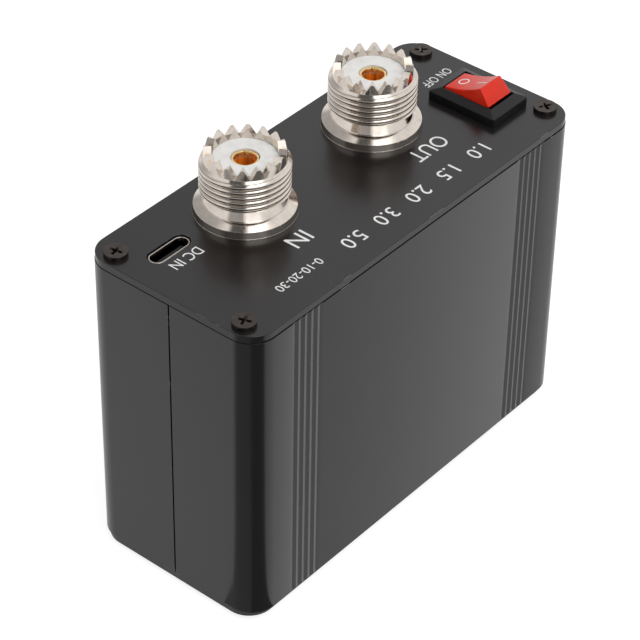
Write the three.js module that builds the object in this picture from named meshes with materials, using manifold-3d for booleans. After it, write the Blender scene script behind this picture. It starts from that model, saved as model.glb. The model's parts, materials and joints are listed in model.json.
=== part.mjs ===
// A pocket radio-frequency power and standing-wave meter, standing on its front panel.
// One extrusion is used twice as a split case. Two end panels close it, and the rear
// panel carries two coaxial sockets, a charging port and a rocker switch.
// Millimetres, +Z up. X runs along the broad side, from the charging port to the switch.
// The origin is under the middle of the case, at the height of the front screws' heads.
import * as THREE from "three";
import { mergeVertices } from "three/addons/utils/BufferGeometryUtils.js";
import Module from "manifold-3d";

const wasm = await Module();
wasm.setup();

// Gaps
const fitGap = 0.3; // round a piece that is cut by, or slides in, its neighbour
const turnedGap = 0.15; // between turned pieces on one axis
const overrun = 1; // how far every cutting shape runs past the surface that it opens

// Case extrusion
const caseWidth = 88;
const caseDepth = 38;
const caseHeight = 60;
const caseCorner = 5;
const wall = 2;
const cornerSteps = 8;
const fluteCount = 5;
const fluteInset = 9.4; // from the case's short side to the nearest flute
const flutePitch = 1.6;
const fluteDepth = 0.3;
const seamShift = 0.45; // of each side's parting line from the middle plane
const seamGap = 0.3;
const tongueReach = 1.2; // past the middle plane
const tongueThickness = 0.85;
const guideDrop = 8.03; // from a screw's axis to the middle of the board guide beside it
const guideReach = 1.7;
const guideThickness = 1;

// Panels and their screws
const frontPanelThickness = 1.2;
const frontPanelInset = 0.7; // of the front panel's long edges inside the case's broad sides
const rearPanelThickness = 1.5;
const panelInset = 0.1; // of a panel's edge inside the case's outline
const screwInsetX = 3.15; // from the case's short side to a screw's axis
const screwInsetY = 4.85; // from the case's broad side to a screw's axis
const screwHeadRadius = 2.15;
const screwHeadHeight = 1;
const screwHeadEdge = 0.2;
const screwShankRadius = 1.3;
const screwGrip = 7; // of shank inside the case
const screwSides = 20;
const holeSteps = 5; // facets of a quarter of a small hole
const channelWall = 1.4; // round a screw's channel
const channelSlot = 1.4;
const shankHole = screwShankRadius + fitGap;

// Coaxial sockets: sizes above and below the rear panel's outer face
const txGapShare = 0.059; // of the room that the nuts leave, between the charger board and the first
const antennaGapShare = 0.1764; // of that room, between the second nut and the switch
const nutWallGap = 1; // from the nuts' flats to the broad wall
const socketSides = 48;
const socketThreadRadius = 7.9375; // five eighths of an inch across the crests
const flangeRadius = 9;
const flangeEdge = 1.35; // height of the flange's side
const flangeHeight = 2.3; // where its conical top meets the neck
const neckRadius = 7.2;
const threadStart = 4;
const threadLead = 0.5; // height of the chamfer at the thread's first turn
const threadEnd = 9.85;
const crownRadius = 7.2;
const crownTipRadius = 7;
const crownValley = 10.6;
const crownTip = 12.5;
const crownTeeth = 16;
const crownPhase = 15; // degrees from +X to a tooth's middle
const notchHalfAngle = 30; // degrees
const socketBore = 5.65;
const socketTailRadius = 7.6;
const socketTail = 8; // below the panel's outer face
const socketLip = 2; // of the tail's inward lip that holds the insulator
const socketLipBore = 4;
const insulatorTop = 10.6;
const insulatorDish = 0.3; // depth of the chamfer round the contact
const contactRadius = 2.5;
const contactBore = 2;
const contactBoreDepth = 9;
const contactTop = 10.35;
const contactSeat = 1; // of insulator under the contact's shoulder
const contactSides = 24;
const cupRadius = 1.6;
const cupBore = 1.1;
const cupDepth = 4;
const cupEnd = 14; // below the panel's outer face
const washerRadius = 9.5;
const washerThickness = 0.6;
const washerTeeth = 12;
const washerToothDepth = 0.7;
const washerToothShare = 0.42; // of a tooth's half pitch that its gap takes up
const nutAcrossFlats = 19;
const nutThickness = 2.5;
const nutChamfer = 0.5;

// Rocker switch: sizes above and below the rear panel's outer face
const switchInset = 8.95; // from the case's short side to the switch's middle
const switchRise = 10.75; // from the nearest screw's axis to the switch's middle
const switchBodyWidth = 8.6;
const switchBodyLength = 13;
const switchBodyDepth = 11.5;
const bezelSideLap = 0.8; // past the body, on the panel
const bezelEndLap = 0.9;
const bezelCorner = 0.5;
const bezelEdge = 1.6;
const bezelRim = 2.3;
const rimLand = 0.15;
const mouthSideWall = 0.85; // between the mouth and the body's side
const mouthEndWall = 1.05;
const cavityEndWall = 0.7;
const cavityTop = 1.2;
const cavityFloor = -3.2;
const barbWidth = 4;
const barbReach = 0.7;
const barbDrop = 3.5;
const cutoutGap = 0.15;
const rockerGap = 0.15; // beside the rocker
const rockerTilt = 20; // degrees each way from level
const rockerTaper = 0.4; // on each side, up to the ridges
const rockerSkirtTop = 1; // above the pivot, where the sides start to taper
const ridgeInset = 1.275; // from the mouth's end to the ridge beside it
const ridgeHeight = 4; // of the rocker's two ridges above the pivot, when level
const saddleSag = 0.42;
const saddleSteps = 10;
const rockerEndLength = 3.7; // down an end face
const rockerBarrelRadius = 2.5;
const rockerBarrelSteps = 8;
const trunnionRadius = 0.9;
const trunnionDepth = 0.45; // of a trunnion in the housing's side
const trunnionSides = 16;
const trunnionGap = 0.08;
const bladeWidth = 4.8;
const bladeThickness = 0.8;
const bladeLength = 7;
const bladeInset = 3; // from the body's end to the middle of a blade
const bladeHole = 0.8;
const bladeHoleShare = 0.7; // of the blade's length, from the housing to the hole

// Charging port and its board
const portInset = 10; // from the case's short side to the port's middle
const portWidth = 8.94;
const portHeight = 3.16;
const portLength = 7.3;
const portWall = 0.3;
const portSunk = 0.2; // below the rear panel's outer face
const portSlotGap = 0.38;
const portBackDepth = 2;
const tongueWidth = 6.7;
const tongueHeight = 0.7;
const tongueSunk = 1; // below the shell's mouth
const portSteps = 5;
const boardThickness = 1.6;
const chargerWidth = 12.8;
const chargerLength = 26;
const chargerDrop = 0.5; // of the board's end below the rear panel's inner face
const chargerChipWidth = 5;
const chargerChipLength = 4;
const chargerChipHeight = 1.5;
const chargerChipDrop = 13; // of the chip's middle below the board's end

// Coupler on the sockets' solder cups
const couplerSideGap = 0.9; // beside the charger board
const couplerWallGap = 0.5;
const couplerProud = 1.3; // of the solder cups below the board
const lineRadius = 0.7;
const lineSides = 8;
const lineInsert = 3; // of the line's legs inside the cups
const lineBend = 2.5;
const lineStep = 1.1; // between the line's sections
const coreRadius = 4.8;
const coreBore = 2.4;
const coreLength = 3.2;
const coreSides = 28;
const coreShare = 0.1765; // of the contacts' spacing, from its middle to each core

// Display, main board and cell
const windowWidth = 28;
const windowDepth = 15;
const windowCorner = 1;
const windowLap = 2;
const windowThickness = 1;
const displayGlassThickness = 1.5;
const displayBoardMargin = 2;
const displayBoardThickness = 1.2;
const headerWidth = 10;
const headerDepth = 2.5;
const headerInset = 1.5; // from the display board's long edge
const mainBoardSideInset = 7; // inside the case's short sides
const mainBoardBroadInset = 4; // inside the case's broad sides
const standoffHeight = 10;
const standoffAcrossFlats = 5;
const standoffSideInset = 4; // from the main board's edges
const standoffBroadInset = 3;
const boardScrewRadius = 1.1;
const boardScrewHeadRadius = 2.2;
const boardScrewHeadHeight = 1.6;
const boardScrewGrip = 4;
const boardScrewSides = 12;
const chipWidth = 10;
const chipHeight = 1.4;
const cellWidth = 50;
const cellThickness = 4;
const cellEdge = 1;
const cellTapeThickness = 0.5;
const cellTapeMargin = 4;
const cellFloorGap = 2.2; // above the main board
const cellTopGap = 3; // below the coupler board

// Heights and places that several pieces share
const frontFaceZ = screwHeadHeight;
const caseBottomZ = frontFaceZ + frontPanelThickness;
const caseTopZ = caseBottomZ + caseHeight;
const rearFaceZ = caseTopZ + rearPanelThickness;
const screwX = caseWidth / 2 - screwInsetX;
const screwY = caseDepth / 2 - screwInsetY;
const innerX = caseWidth / 2 - wall;
const innerY = caseDepth / 2 - wall;
const guideCentre = screwY - guideDrop;
const chargerLeft = -innerX + fitGap;
const chargerRight = chargerLeft + chargerWidth;
const switchX = caseWidth / 2 - switchInset;
const switchY = switchRise - screwY;
const nutCornerRadius = nutAcrossFlats / 2 / Math.cos(Math.PI / 6);
const bezelWidth = switchBodyWidth + 2 * bezelSideLap;
const bezelLength = switchBodyLength + 2 * bezelEndLap;
const mouthWidth = switchBodyWidth - 2 * mouthSideWall;
const mouthLength = switchBodyLength - 2 * mouthEndWall;
const trunnionReach = mouthWidth / 2 + trunnionDepth;
const socketRoom = switchX - switchBodyWidth / 2 - chargerRight - 4 * nutCornerRadius;
const socketX = {
  tx: chargerRight + txGapShare * socketRoom + nutCornerRadius,
  antenna: switchX - switchBodyWidth / 2 - antennaGapShare * socketRoom - nutCornerRadius,
};
const socketY = innerY - nutWallGap - nutAcrossFlats / 2;
const portX = portInset - caseWidth / 2;
const chargerFaceY = guideCentre + boardThickness / 2;
const portY = chargerFaceY + portHeight / 2;
const degree = Math.PI / 180;

// Materials
const paint = (color, roughness, metalness) =>
  new THREE.MeshStandardMaterial({ color, roughness, metalness });
const anodised = paint(0x3a393a, 0.45, 0.8);
const panelBlack = paint(0x333132, 0.4, 0.7);
const blackSteel = paint(0x2c2826, 0.4, 0.9);
const nickel = paint(0xcfc6b8, 0.18, 1);
const gold = paint(0xe8b765, 0.25, 1);
const whitePlastic = paint(0xe4e2dc, 0.4, 0);
const blackPlastic = paint(0x1c1c1d, 0.45, 0);
const redPlastic = paint(0xd2281c, 0.25, 0);
const tin = paint(0xb9b8b2, 0.3, 1);
const boardGreen = paint(0x14492f, 0.5, 0);
const copper = paint(0xb8733f, 0.3, 1);
const ferrite = paint(0x3d3f42, 0.8, 0);
const clear = paint(0xc9d4d8, 0.05, 0);
const glassBlack = paint(0x0c0e12, 0.08, 0);
const foil = paint(0xb8bcc0, 0.35, 0.8);
const foam = paint(0x26282b, 0.9, 0);

// Solids
function solid(geometry) {
  const plain = geometry.clone();
  for (const name of Object.keys(plain.attributes)) {
    if (name !== "position") plain.deleteAttribute(name);
  }
  const merged = mergeVertices(plain);
  return new wasm.Manifold(
    new wasm.Mesh({
      numProp: 3,
      vertProperties: new Float32Array(merged.attributes.position.array),
      triVerts: new Uint32Array(merged.index.array),
    }),
  );
}

function geometryOf(body) {
  const mesh = body.getMesh();
  const geometry = new THREE.BufferGeometry();
  geometry.setAttribute("position", new THREE.BufferAttribute(mesh.vertProperties, 3));
  geometry.setIndex(new THREE.BufferAttribute(mesh.triVerts, 1));
  geometry.computeVertexNormals();
  return geometry;
}

const join = (first, ...rest) => rest.reduce((sum, geometry) => sum.add(solid(geometry)), solid(first));
const cut = (body, ...tools) => tools.reduce((left, geometry) => left.subtract(solid(geometry)), body);

// An upright prism of a shape, from one height to another
function prism(shape, low, high, curveSegments = cornerSteps) {
  const options = { depth: high - low, bevelEnabled: false, curveSegments };
  return new THREE.ExtrudeGeometry(shape, options).translate(0, 0, low);
}

// A shape of the YZ plane as a prism along X, centred
function prismAlongX(shape, width, curveSegments = cornerSteps) {
  return prism(shape, -width / 2, width / 2, curveSegments).rotateY(Math.PI / 2).rotateX(Math.PI / 2);
}

// A shape of the XZ plane as a prism along Y, centred
function prismAlongY(shape, depth, curveSegments = cornerSteps) {
  return prism(shape, -depth / 2, depth / 2, curveSegments).rotateX(Math.PI / 2);
}

// A closed profile of [radius, height] pairs, counterclockwise, turned about Z
function turned(profile, sides) {
  const points = profile.map(([radius, height]) => new THREE.Vector2(radius, height));
  points.push(points[0].clone());
  return new THREE.LatheGeometry(points, sides).rotateX(Math.PI / 2);
}

function outline(points) {
  return new THREE.Shape(points.map(([x, y]) => new THREE.Vector2(x, y)));
}

function rectangle(width, depth, x = 0, y = 0) {
  const left = x - width / 2;
  const right = x + width / 2;
  const front = y - depth / 2;
  const back = y + depth / 2;
  return outline([[left, front], [right, front], [right, back], [left, back]]);
}

function rounded(width, depth, radius, x = 0, y = 0) {
  const shape = new THREE.Shape();
  const reachX = width / 2 - radius;
  const reachY = depth / 2 - radius;
  shape.absarc(x + reachX, y - reachY, radius, -Math.PI / 2, 0, false);
  shape.absarc(x + reachX, y + reachY, radius, 0, Math.PI / 2, false);
  shape.absarc(x - reachX, y + reachY, radius, Math.PI / 2, Math.PI, false);
  shape.absarc(x - reachX, y - reachY, radius, Math.PI, 1.5 * Math.PI, false);
  return shape;
}

function disc(radius, x = 0, y = 0) {
  return new THREE.Shape().absarc(x, y, radius, 0, 2 * Math.PI, false);
}

function polygon(radius, sides, phase = 0) {
  const corners = [];
  for (let i = 0; i < sides; i += 1) {
    const angle = phase + (i * 2 * Math.PI) / sides;
    corners.push([radius * Math.cos(angle), radius * Math.sin(angle)]);
  }
  return outline(corners);
}

const box = (width, depth, low, high, x = 0, y = 0) => prism(rectangle(width, depth, x, y), low, high);

// The assembly
const meter = new THREE.Group();

function place(name, geometry, material, x = 0, y = 0, z = 0) {
  const mesh = new THREE.Mesh(geometry, material);
  mesh.name = name;
  mesh.position.set(x, y, z);
  meter.add(mesh);
  return mesh;
}

// Case: the half that lies at -Y. Its -X wall ends in a tongue, its +X wall in a groove,
// so that a second length of the same extrusion, turned half round, closes it.
function fluteLine(side) {
  const points = [];
  for (let i = 0; i <= 2 * fluteCount; i += 1) {
    const step = side < 0 ? 2 * fluteCount - i : i;
    const x = side * (caseWidth / 2 - fluteInset - fluteCount * flutePitch + (step * flutePitch) / 2);
    const depth = step % 2 === 1 ? fluteDepth : 0;
    points.push([x, -caseDepth / 2 + depth]);
  }
  return points;
}

function cornerArc(x, y, radius, from) {
  const points = [];
  for (let i = 0; i <= cornerSteps; i += 1) {
    const angle = from + (i * Math.PI) / 2 / cornerSteps;
    points.push([x + radius * Math.cos(angle), y + radius * Math.sin(angle)]);
  }
  return points;
}

function caseHalfGeometry() {
  const arcX = caseWidth / 2 - caseCorner;
  const arcY = -caseDepth / 2 + caseCorner;
  const innerRadius = caseCorner - wall;
  const lipEnd = -seamShift - seamGap / 2;
  const farLipEnd = seamShift - seamGap / 2;
  const lip = wall - tongueThickness - fitGap;
  const skin = outline([
    [-caseWidth / 2, lipEnd],
    ...cornerArc(-arcX, arcY, caseCorner, Math.PI),
    ...fluteLine(-1),
    ...fluteLine(1),
    ...cornerArc(arcX, arcY, caseCorner, 1.5 * Math.PI),
    [caseWidth / 2, farLipEnd],
    [caseWidth / 2 - lip, farLipEnd],
    [caseWidth / 2 - lip, -tongueReach],
    [innerX, -tongueReach],
    ...cornerArc(arcX, arcY, innerRadius, 1.5 * Math.PI).reverse(),
    ...cornerArc(-arcX, arcY, innerRadius, Math.PI).reverse(),
    [-innerX, tongueReach],
    [-innerX - tongueThickness, tongueReach],
    [-innerX - tongueThickness, lipEnd],
  ]);
  const guides = [];
  const channels = [];
  const cuts = [];
  for (const side of [-1, 1]) {
    const guideX = side * (innerX - guideReach / 2 + wall / 4);
    const guideOffset = (boardThickness + guideThickness) / 2 + fitGap;
    for (const edge of [-1, 1]) {
      const y = -guideCentre + edge * guideOffset;
      guides.push(box(guideReach + wall / 2, guideThickness, caseBottomZ, caseTopZ, guideX, y));
    }
    channels.push(prism(disc(shankHole + channelWall, side * screwX, -screwY), caseBottomZ, caseTopZ, 6));
    const low = caseBottomZ - overrun;
    const high = caseTopZ + overrun;
    cuts.push(prism(disc(shankHole, side * screwX, -screwY), low, high, 5));
    const slotLength = 2 * (shankHole + channelWall);
    const slot = box(slotLength, channelSlot, low, high, slotLength / 2);
    slot.rotateZ(side < 0 ? Math.PI / 4 : 0.75 * Math.PI);
    cuts.push(slot.translate(side * screwX, -screwY, 0));
  }
  return geometryOf(cut(join(prism(skin, caseBottomZ, caseTopZ), ...channels, ...guides), ...cuts));
}

place("case_half_upper", caseHalfGeometry(), anodised);
place("case_half_lower", caseHalfGeometry().rotateZ(Math.PI), anodised);

// Panels
function panelShape(depth) {
  const shape = rounded(caseWidth - 2 * panelInset, depth, caseCorner - panelInset);
  for (const side of [-1, 1]) {
    for (const edge of [-1, 1]) shape.holes.push(disc(shankHole, side * screwX, edge * screwY));
  }
  return shape;
}

function rearPanelGeometry() {
  const shape = panelShape(caseDepth - 2 * panelInset);
  for (const x of Object.values(socketX)) shape.holes.push(disc(socketTailRadius + fitGap, x, socketY));
  const cutoutWidth = switchBodyWidth + 2 * cutoutGap;
  const cutoutLength = switchBodyLength + 2 * cutoutGap;
  shape.holes.push(rectangle(cutoutWidth, cutoutLength, switchX, switchY));
  const slotHeight = portHeight + 2 * portSlotGap;
  shape.holes.push(rounded(portWidth + 2 * portSlotGap, slotHeight, slotHeight / 2, portX, portY));
  return prism(shape, caseTopZ, rearFaceZ);
}

function frontPanelGeometry() {
  const shape = panelShape(caseDepth - 2 * frontPanelInset);
  shape.holes.push(rounded(windowWidth, windowDepth, windowCorner));
  return prism(shape, frontFaceZ, caseBottomZ);
}

place("rear_panel", rearPanelGeometry(), panelBlack);
place("front_panel", frontPanelGeometry(), panelBlack);

// Panel screws, drawn with the head upwards and its seat at zero
function panelScrewGeometry(panelThickness) {
  const shankEnd = -panelThickness - screwGrip;
  return turned([
    [0, shankEnd],
    [screwShankRadius, shankEnd],
    [screwShankRadius, 0],
    [screwHeadRadius, 0],
    [screwHeadRadius, screwHeadHeight - screwHeadEdge],
    [screwHeadRadius - screwHeadEdge, screwHeadHeight],
    [0, screwHeadHeight],
  ], screwSides);
}

let screwNumber = 0;
for (const edge of [-1, 1]) {
  for (const side of [-1, 1]) {
    screwNumber += 1;
    const x = side * screwX;
    const y = edge * screwY;
    place(`rear_screw_${screwNumber}`, panelScrewGeometry(rearPanelThickness), blackSteel, x, y, rearFaceZ);
    const front = panelScrewGeometry(frontPanelThickness).rotateX(Math.PI);
    place(`front_screw_${screwNumber}`, front, blackSteel, x, y, frontFaceZ);
  }
}

// Coaxial sockets
function socketShellGeometry() {
  const shell = solid(turned([
    [socketTailRadius, -socketTail],
    [socketTailRadius, 0],
    [flangeRadius, 0],
    [flangeRadius, flangeEdge],
    [neckRadius, flangeHeight],
    [neckRadius, threadStart],
    [socketThreadRadius, threadStart + threadLead],
    [socketThreadRadius, threadEnd],
    [crownRadius, crownValley],
    [crownTipRadius, crownTip],
    [socketBore, crownTip],
    [socketBore, -socketTail + socketLip],
    [socketLipBore, -socketTail + socketLip],
    [socketLipBore, -socketTail],
  ], socketSides));
  const notchRise = crownTip - crownValley + overrun;
  const notchHalfWidth = notchRise * Math.tan(notchHalfAngle * degree);
  const notchLength = flangeRadius;
  const notch = outline([[0, 0], [notchHalfWidth, notchRise], [-notchHalfWidth, notchRise]]);
  const cutters = [];
  for (let tooth = 0; tooth < crownTeeth; tooth += 1) {
    const angle = (crownPhase + ((tooth + 0.5) * 360) / crownTeeth) * degree;
    const cutter = prismAlongY(notch, notchLength);
    cutter.translate(0, notchLength / 2 + contactRadius, crownValley);
    cutters.push(cutter.rotateZ(angle - Math.PI / 2));
  }
  return geometryOf(cut(shell, ...cutters));
}

function insulatorGeometry() {
  const radius = socketBore - turnedGap;
  const hole = contactRadius + turnedGap;
  const low = -socketTail + socketLip;
  return turned([
    [radius, low],
    [radius, insulatorTop],
    [hole + insulatorDish, insulatorTop],
    [hole, insulatorTop - insulatorDish],
    [hole, low + contactSeat],
    [cupRadius + turnedGap, low + contactSeat],
    [cupRadius + turnedGap, low],
  ], socketSides);
}

function contactGeometry() {
  const shoulder = -socketTail + socketLip + contactSeat;
  const lead = contactRadius - contactBore;
  return turned([
    [0, -cupEnd + cupDepth],
    [cupBore, -cupEnd + cupDepth],
    [cupBore, -cupEnd],
    [cupRadius, -cupEnd],
    [cupRadius, shoulder],
    [contactRadius, shoulder],
    [contactRadius, contactTop],
    [contactRadius - lead / 4, contactTop],
    [contactBore, contactTop - lead],
    [contactBore, contactTop - contactBoreDepth],
    [0, contactTop - contactBoreDepth],
  ], contactSides);
}

function washerGeometry() {
  const shape = disc(washerRadius);
  const hole = socketTailRadius + turnedGap;
  const corners = [];
  for (let i = 0; i < 2 * washerTeeth; i += 1) {
    const angle = ((i + 0.5) * Math.PI) / washerTeeth;
    for (const edge of [-1, 1]) {
      const radius = i % 2 === 0 ? hole : hole + washerToothDepth;
      const turn = angle + (edge * washerToothShare * Math.PI) / washerTeeth;
      corners.push([radius * Math.cos(turn), radius * Math.sin(turn)]);
    }
  }
  shape.holes.push(outline(corners));
  return prism(shape, caseTopZ - washerThickness, caseTopZ, 2 * cornerSteps);
}

function nutGeometry() {
  const top = caseTopZ - washerThickness;
  const low = top - nutThickness;
  const shape = polygon(nutCornerRadius, 6);
  shape.holes.push(disc(socketTailRadius + turnedGap));
  const rounding = turned([
    [0, low],
    [nutCornerRadius - nutChamfer, low],
    [nutCornerRadius, low + nutChamfer],
    [nutCornerRadius, top + overrun],
    [0, top + overrun],
  ], socketSides);
  return geometryOf(solid(prism(shape, low, top, socketSides / 4)).intersect(solid(rounding)));
}

for (const [name, x] of Object.entries(socketX)) {
  place(`${name}_socket_shell`, socketShellGeometry(), nickel, x, socketY, rearFaceZ);
  place(`${name}_insulator`, insulatorGeometry(), whitePlastic, x, socketY, rearFaceZ);
  place(`${name}_contact`, contactGeometry(), gold, x, socketY, rearFaceZ);
  place(`${name}_lock_washer`, washerGeometry(), tin, x, socketY);
  place(`${name}_nut`, nutGeometry(), nickel, x, socketY);
}

// Rocker switch, drawn about its own middle with the panel's outer face at zero
function bezelSlope(outer, mouth) {
  const edge = outer / 2;
  const rim = mouth / 2 + rimLand;
  return outline([[-edge, -overrun], [edge, -overrun], [edge, bezelEdge], [rim, bezelRim], [-rim, bezelRim],
    [-edge, bezelEdge]]);
}

function switchHousingGeometry() {
  const frame = solid(prism(rounded(bezelWidth, bezelLength, bezelCorner), 0, bezelRim, 2))
    .intersect(solid(prismAlongX(bezelSlope(bezelLength, mouthLength), bezelWidth + overrun)))
    .intersect(solid(prismAlongY(bezelSlope(bezelWidth, mouthWidth), bezelLength + overrun)));
  const body = box(switchBodyWidth, switchBodyLength, -switchBodyDepth, bezelEdge / 2);
  const barbs = [];
  for (const edge of [-1, 1]) {
    const inside = edge * (switchBodyLength / 2 - barbReach);
    const face = edge * (switchBodyLength / 2 + barbReach);
    const foot = -rearPanelThickness - barbDrop;
    const profile = [[inside, -rearPanelThickness], [face, -rearPanelThickness], [inside, foot]];
    barbs.push(prismAlongX(outline(edge < 0 ? profile : profile.reverse()), barbWidth));
  }
  const mouth = box(mouthWidth, mouthLength, cavityTop - overrun, bezelRim + overrun);
  const cavity = box(mouthWidth, switchBodyLength - 2 * cavityEndWall, cavityFloor, cavityTop);
  const pin = polygon(trunnionRadius + trunnionGap, trunnionSides);
  const pinHole = prismAlongX(pin, 2 * (trunnionReach + trunnionGap));
  return geometryOf(cut(frame.add(join(body, ...barbs)), mouth, cavity, pinHole));
}

function rockerGeometry() {
  const half = mouthLength / 2 - ridgeInset;
  const skirt = mouthWidth / 2 - rockerGap;
  const top = skirt - rockerTaper;
  const saddleRadius = (half * half + saddleSag * saddleSag) / (2 * saddleSag);
  const saddleAngle = Math.asin(half / saddleRadius);
  const saddleCentre = ridgeHeight - saddleSag + saddleRadius;
  const side = [];
  for (let i = 0; i <= saddleSteps; i += 1) {
    const angle = saddleAngle * (1 - (2 * i) / saddleSteps);
    side.push([saddleRadius * Math.sin(angle), saddleCentre - saddleRadius * Math.cos(angle)]);
  }
  const tilt = rockerTilt * degree;
  const cornerY = half + rockerEndLength * Math.sin(tilt);
  const cornerZ = ridgeHeight - rockerEndLength * Math.cos(tilt);
  side.push([-cornerY, cornerZ]);
  for (let i = 0; i <= rockerBarrelSteps; i += 1) {
    const angle = Math.PI + (i * Math.PI) / rockerBarrelSteps;
    side.push([rockerBarrelRadius * Math.cos(angle), rockerBarrelRadius * Math.sin(angle)]);
  }
  side.push([cornerY, cornerZ]);
  const low = -rockerBarrelRadius - overrun;
  const taper = outline([
    [-skirt, low],
    [skirt, low],
    [skirt, rockerSkirtTop],
    [top, ridgeHeight],
    [top, ridgeHeight + overrun],
    [-top, ridgeHeight + overrun],
    [-top, ridgeHeight],
    [-skirt, rockerSkirtTop],
  ]);
  const trunnions = prismAlongX(polygon(trunnionRadius, trunnionSides), 2 * trunnionReach);
  const body = solid(prismAlongX(outline(side), mouthWidth));
  return geometryOf(body.intersect(solid(prismAlongY(taper, 2 * cornerY + overrun))).add(solid(trunnions)));
}

function bladeGeometry() {
  const shape = rectangle(bladeWidth, bladeLength, 0, -bladeLength / 2);
  shape.holes.push(disc(bladeHole, 0, -bladeHoleShare * bladeLength));
  return prismAlongY(shape, bladeThickness, 4);
}

place("switch_housing", switchHousingGeometry(), blackPlastic, switchX, switchY, rearFaceZ);
const rocker = place("switch_rocker", rockerGeometry(), redPlastic, switchX, switchY, rearFaceZ);
rocker.rotation.x = -rockerTilt * degree;
const bladeZ = rearFaceZ - switchBodyDepth;
const bladeY = switchBodyLength / 2 - bladeInset;
place("switch_terminal_1", bladeGeometry(), tin, switchX, switchY - bladeY, bladeZ);
place("switch_terminal_2", bladeGeometry(), tin, switchX, switchY + bladeY, bladeZ);

// Charging port: a rolled shell, its tongue, and the board that runs in the case's guides
const portMouthZ = rearFaceZ - portSunk;
const portFootZ = portMouthZ - portLength;

function portShellGeometry() {
  const shape = rounded(portWidth, portHeight, portHeight / 2, portX, portY);
  const innerHeight = portHeight - 2 * portWall;
  shape.holes.push(rounded(portWidth - 2 * portWall, innerHeight, innerHeight / 2, portX, portY));
  return prism(shape, portFootZ, portMouthZ, portSteps);
}

function portTongueGeometry() {
  const blockHeight = portHeight - 2 * (portWall + turnedGap);
  const blockWidth = portWidth - 2 * (portWall + turnedGap);
  const block = rounded(blockWidth, blockHeight, blockHeight / 2, portX, portY);
  const tongueFoot = portFootZ + portBackDepth / 2;
  const tongue = box(tongueWidth, tongueHeight, tongueFoot, portMouthZ - tongueSunk, portX, portY);
  return geometryOf(join(prism(block, portFootZ, portFootZ + portBackDepth, portSteps), tongue));
}

const chargerTopZ = caseTopZ - chargerDrop;
const chargerX = chargerLeft + chargerWidth / 2;
const chargerEndZ = chargerTopZ - chargerLength;
const chargerBoard = box(chargerWidth, boardThickness, chargerEndZ, chargerTopZ, chargerX, guideCentre);
const chargerChipZ = chargerTopZ - chargerChipDrop;
const chargerChip = box(
  chargerChipWidth,
  chargerChipHeight,
  chargerChipZ - chargerChipLength / 2,
  chargerChipZ + chargerChipLength / 2,
  chargerX,
  chargerFaceY + chargerChipHeight / 2,
);
place("port_shell", portShellGeometry(), tin);
place("port_tongue", portTongueGeometry(), blackPlastic);
place("charger_board", chargerBoard, boardGreen);
place("charger_chip", chargerChip, blackPlastic);

// Coupler: a board on the solder cups, the line between the contacts, and two cores
const couplerBottomZ = rearFaceZ - cupEnd + couplerProud;
const lineZ = couplerBottomZ - fitGap - coreRadius;

function couplerBoardGeometry() {
  const width = -2 * (chargerRight + couplerSideGap);
  const shape = rectangle(width, 2 * (innerY - couplerWallGap - socketY), 0, socketY);
  for (const x of Object.values(socketX)) shape.holes.push(disc(cupRadius + fitGap, x, socketY));
  return prism(shape, couplerBottomZ, couplerBottomZ + boardThickness, contactSides / 4);
}

function lineGeometry() {
  const topZ = rearFaceZ - cupEnd + lineInsert;
  const path = new THREE.CurvePath();
  const at = (x, z) => new THREE.Vector3(x, socketY, z);
  const corner = (from, knee, to) => path.add(new THREE.QuadraticBezierCurve3(from, knee, to));
  const { tx, antenna } = socketX;
  path.add(new THREE.LineCurve3(at(tx, topZ), at(tx, lineZ + lineBend)));
  corner(at(tx, lineZ + lineBend), at(tx, lineZ), at(tx + lineBend, lineZ));
  path.add(new THREE.LineCurve3(at(tx + lineBend, lineZ), at(antenna - lineBend, lineZ)));
  corner(at(antenna - lineBend, lineZ), at(antenna, lineZ), at(antenna, lineZ + lineBend));
  path.add(new THREE.LineCurve3(at(antenna, lineZ + lineBend), at(antenna, topZ)));
  const steps = Math.round(path.getLength() / lineStep);
  const section = polygon(lineRadius, lineSides);
  return new THREE.ExtrudeGeometry(section, { steps, extrudePath: path, bevelEnabled: false });
}

function coreGeometry() {
  return turned([
    [coreRadius, -coreLength / 2],
    [coreRadius, coreLength / 2],
    [coreBore, coreLength / 2],
    [coreBore, -coreLength / 2],
  ], coreSides);
}

place("coupler_board", couplerBoardGeometry(), boardGreen);
place("line_conductor", lineGeometry(), copper);
const lineMiddle = (socketX.antenna + socketX.tx) / 2;
const coreOffset = coreShare * (socketX.antenna - socketX.tx);
const currentCore = coreGeometry().rotateY(Math.PI / 2);
place("current_core", currentCore, ferrite, lineMiddle + coreOffset, socketY, lineZ);
const flatCoreZ = couplerBottomZ - fitGap - coreLength / 2;
place("voltage_core", coreGeometry(), ferrite, lineMiddle - coreOffset, socketY, flatCoreZ);

// Display behind the front panel's window, and the main board on its standoffs
const windowBackZ = caseBottomZ + windowThickness;
const glassZ = windowBackZ + fitGap;
const displayBoardZ = glassZ + displayGlassThickness;
const displayBackZ = displayBoardZ + displayBoardThickness;
const mainBoardZ = caseBottomZ + standoffHeight;
const mainBoardTopZ = mainBoardZ + boardThickness;
const mainBoardWidth = caseWidth - 2 * mainBoardSideInset;
const mainBoardDepth = caseDepth - 2 * mainBoardBroadInset;
const standoffX = mainBoardWidth / 2 - standoffSideInset;
const standoffY = mainBoardDepth / 2 - standoffBroadInset;

function mainBoardGeometry() {
  const shape = rectangle(mainBoardWidth, mainBoardDepth);
  for (const side of [-1, 1]) {
    for (const edge of [-1, 1]) {
      shape.holes.push(disc(boardScrewRadius + fitGap, side * standoffX, edge * standoffY));
    }
  }
  return prism(shape, mainBoardZ, mainBoardTopZ, 4);
}

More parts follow.
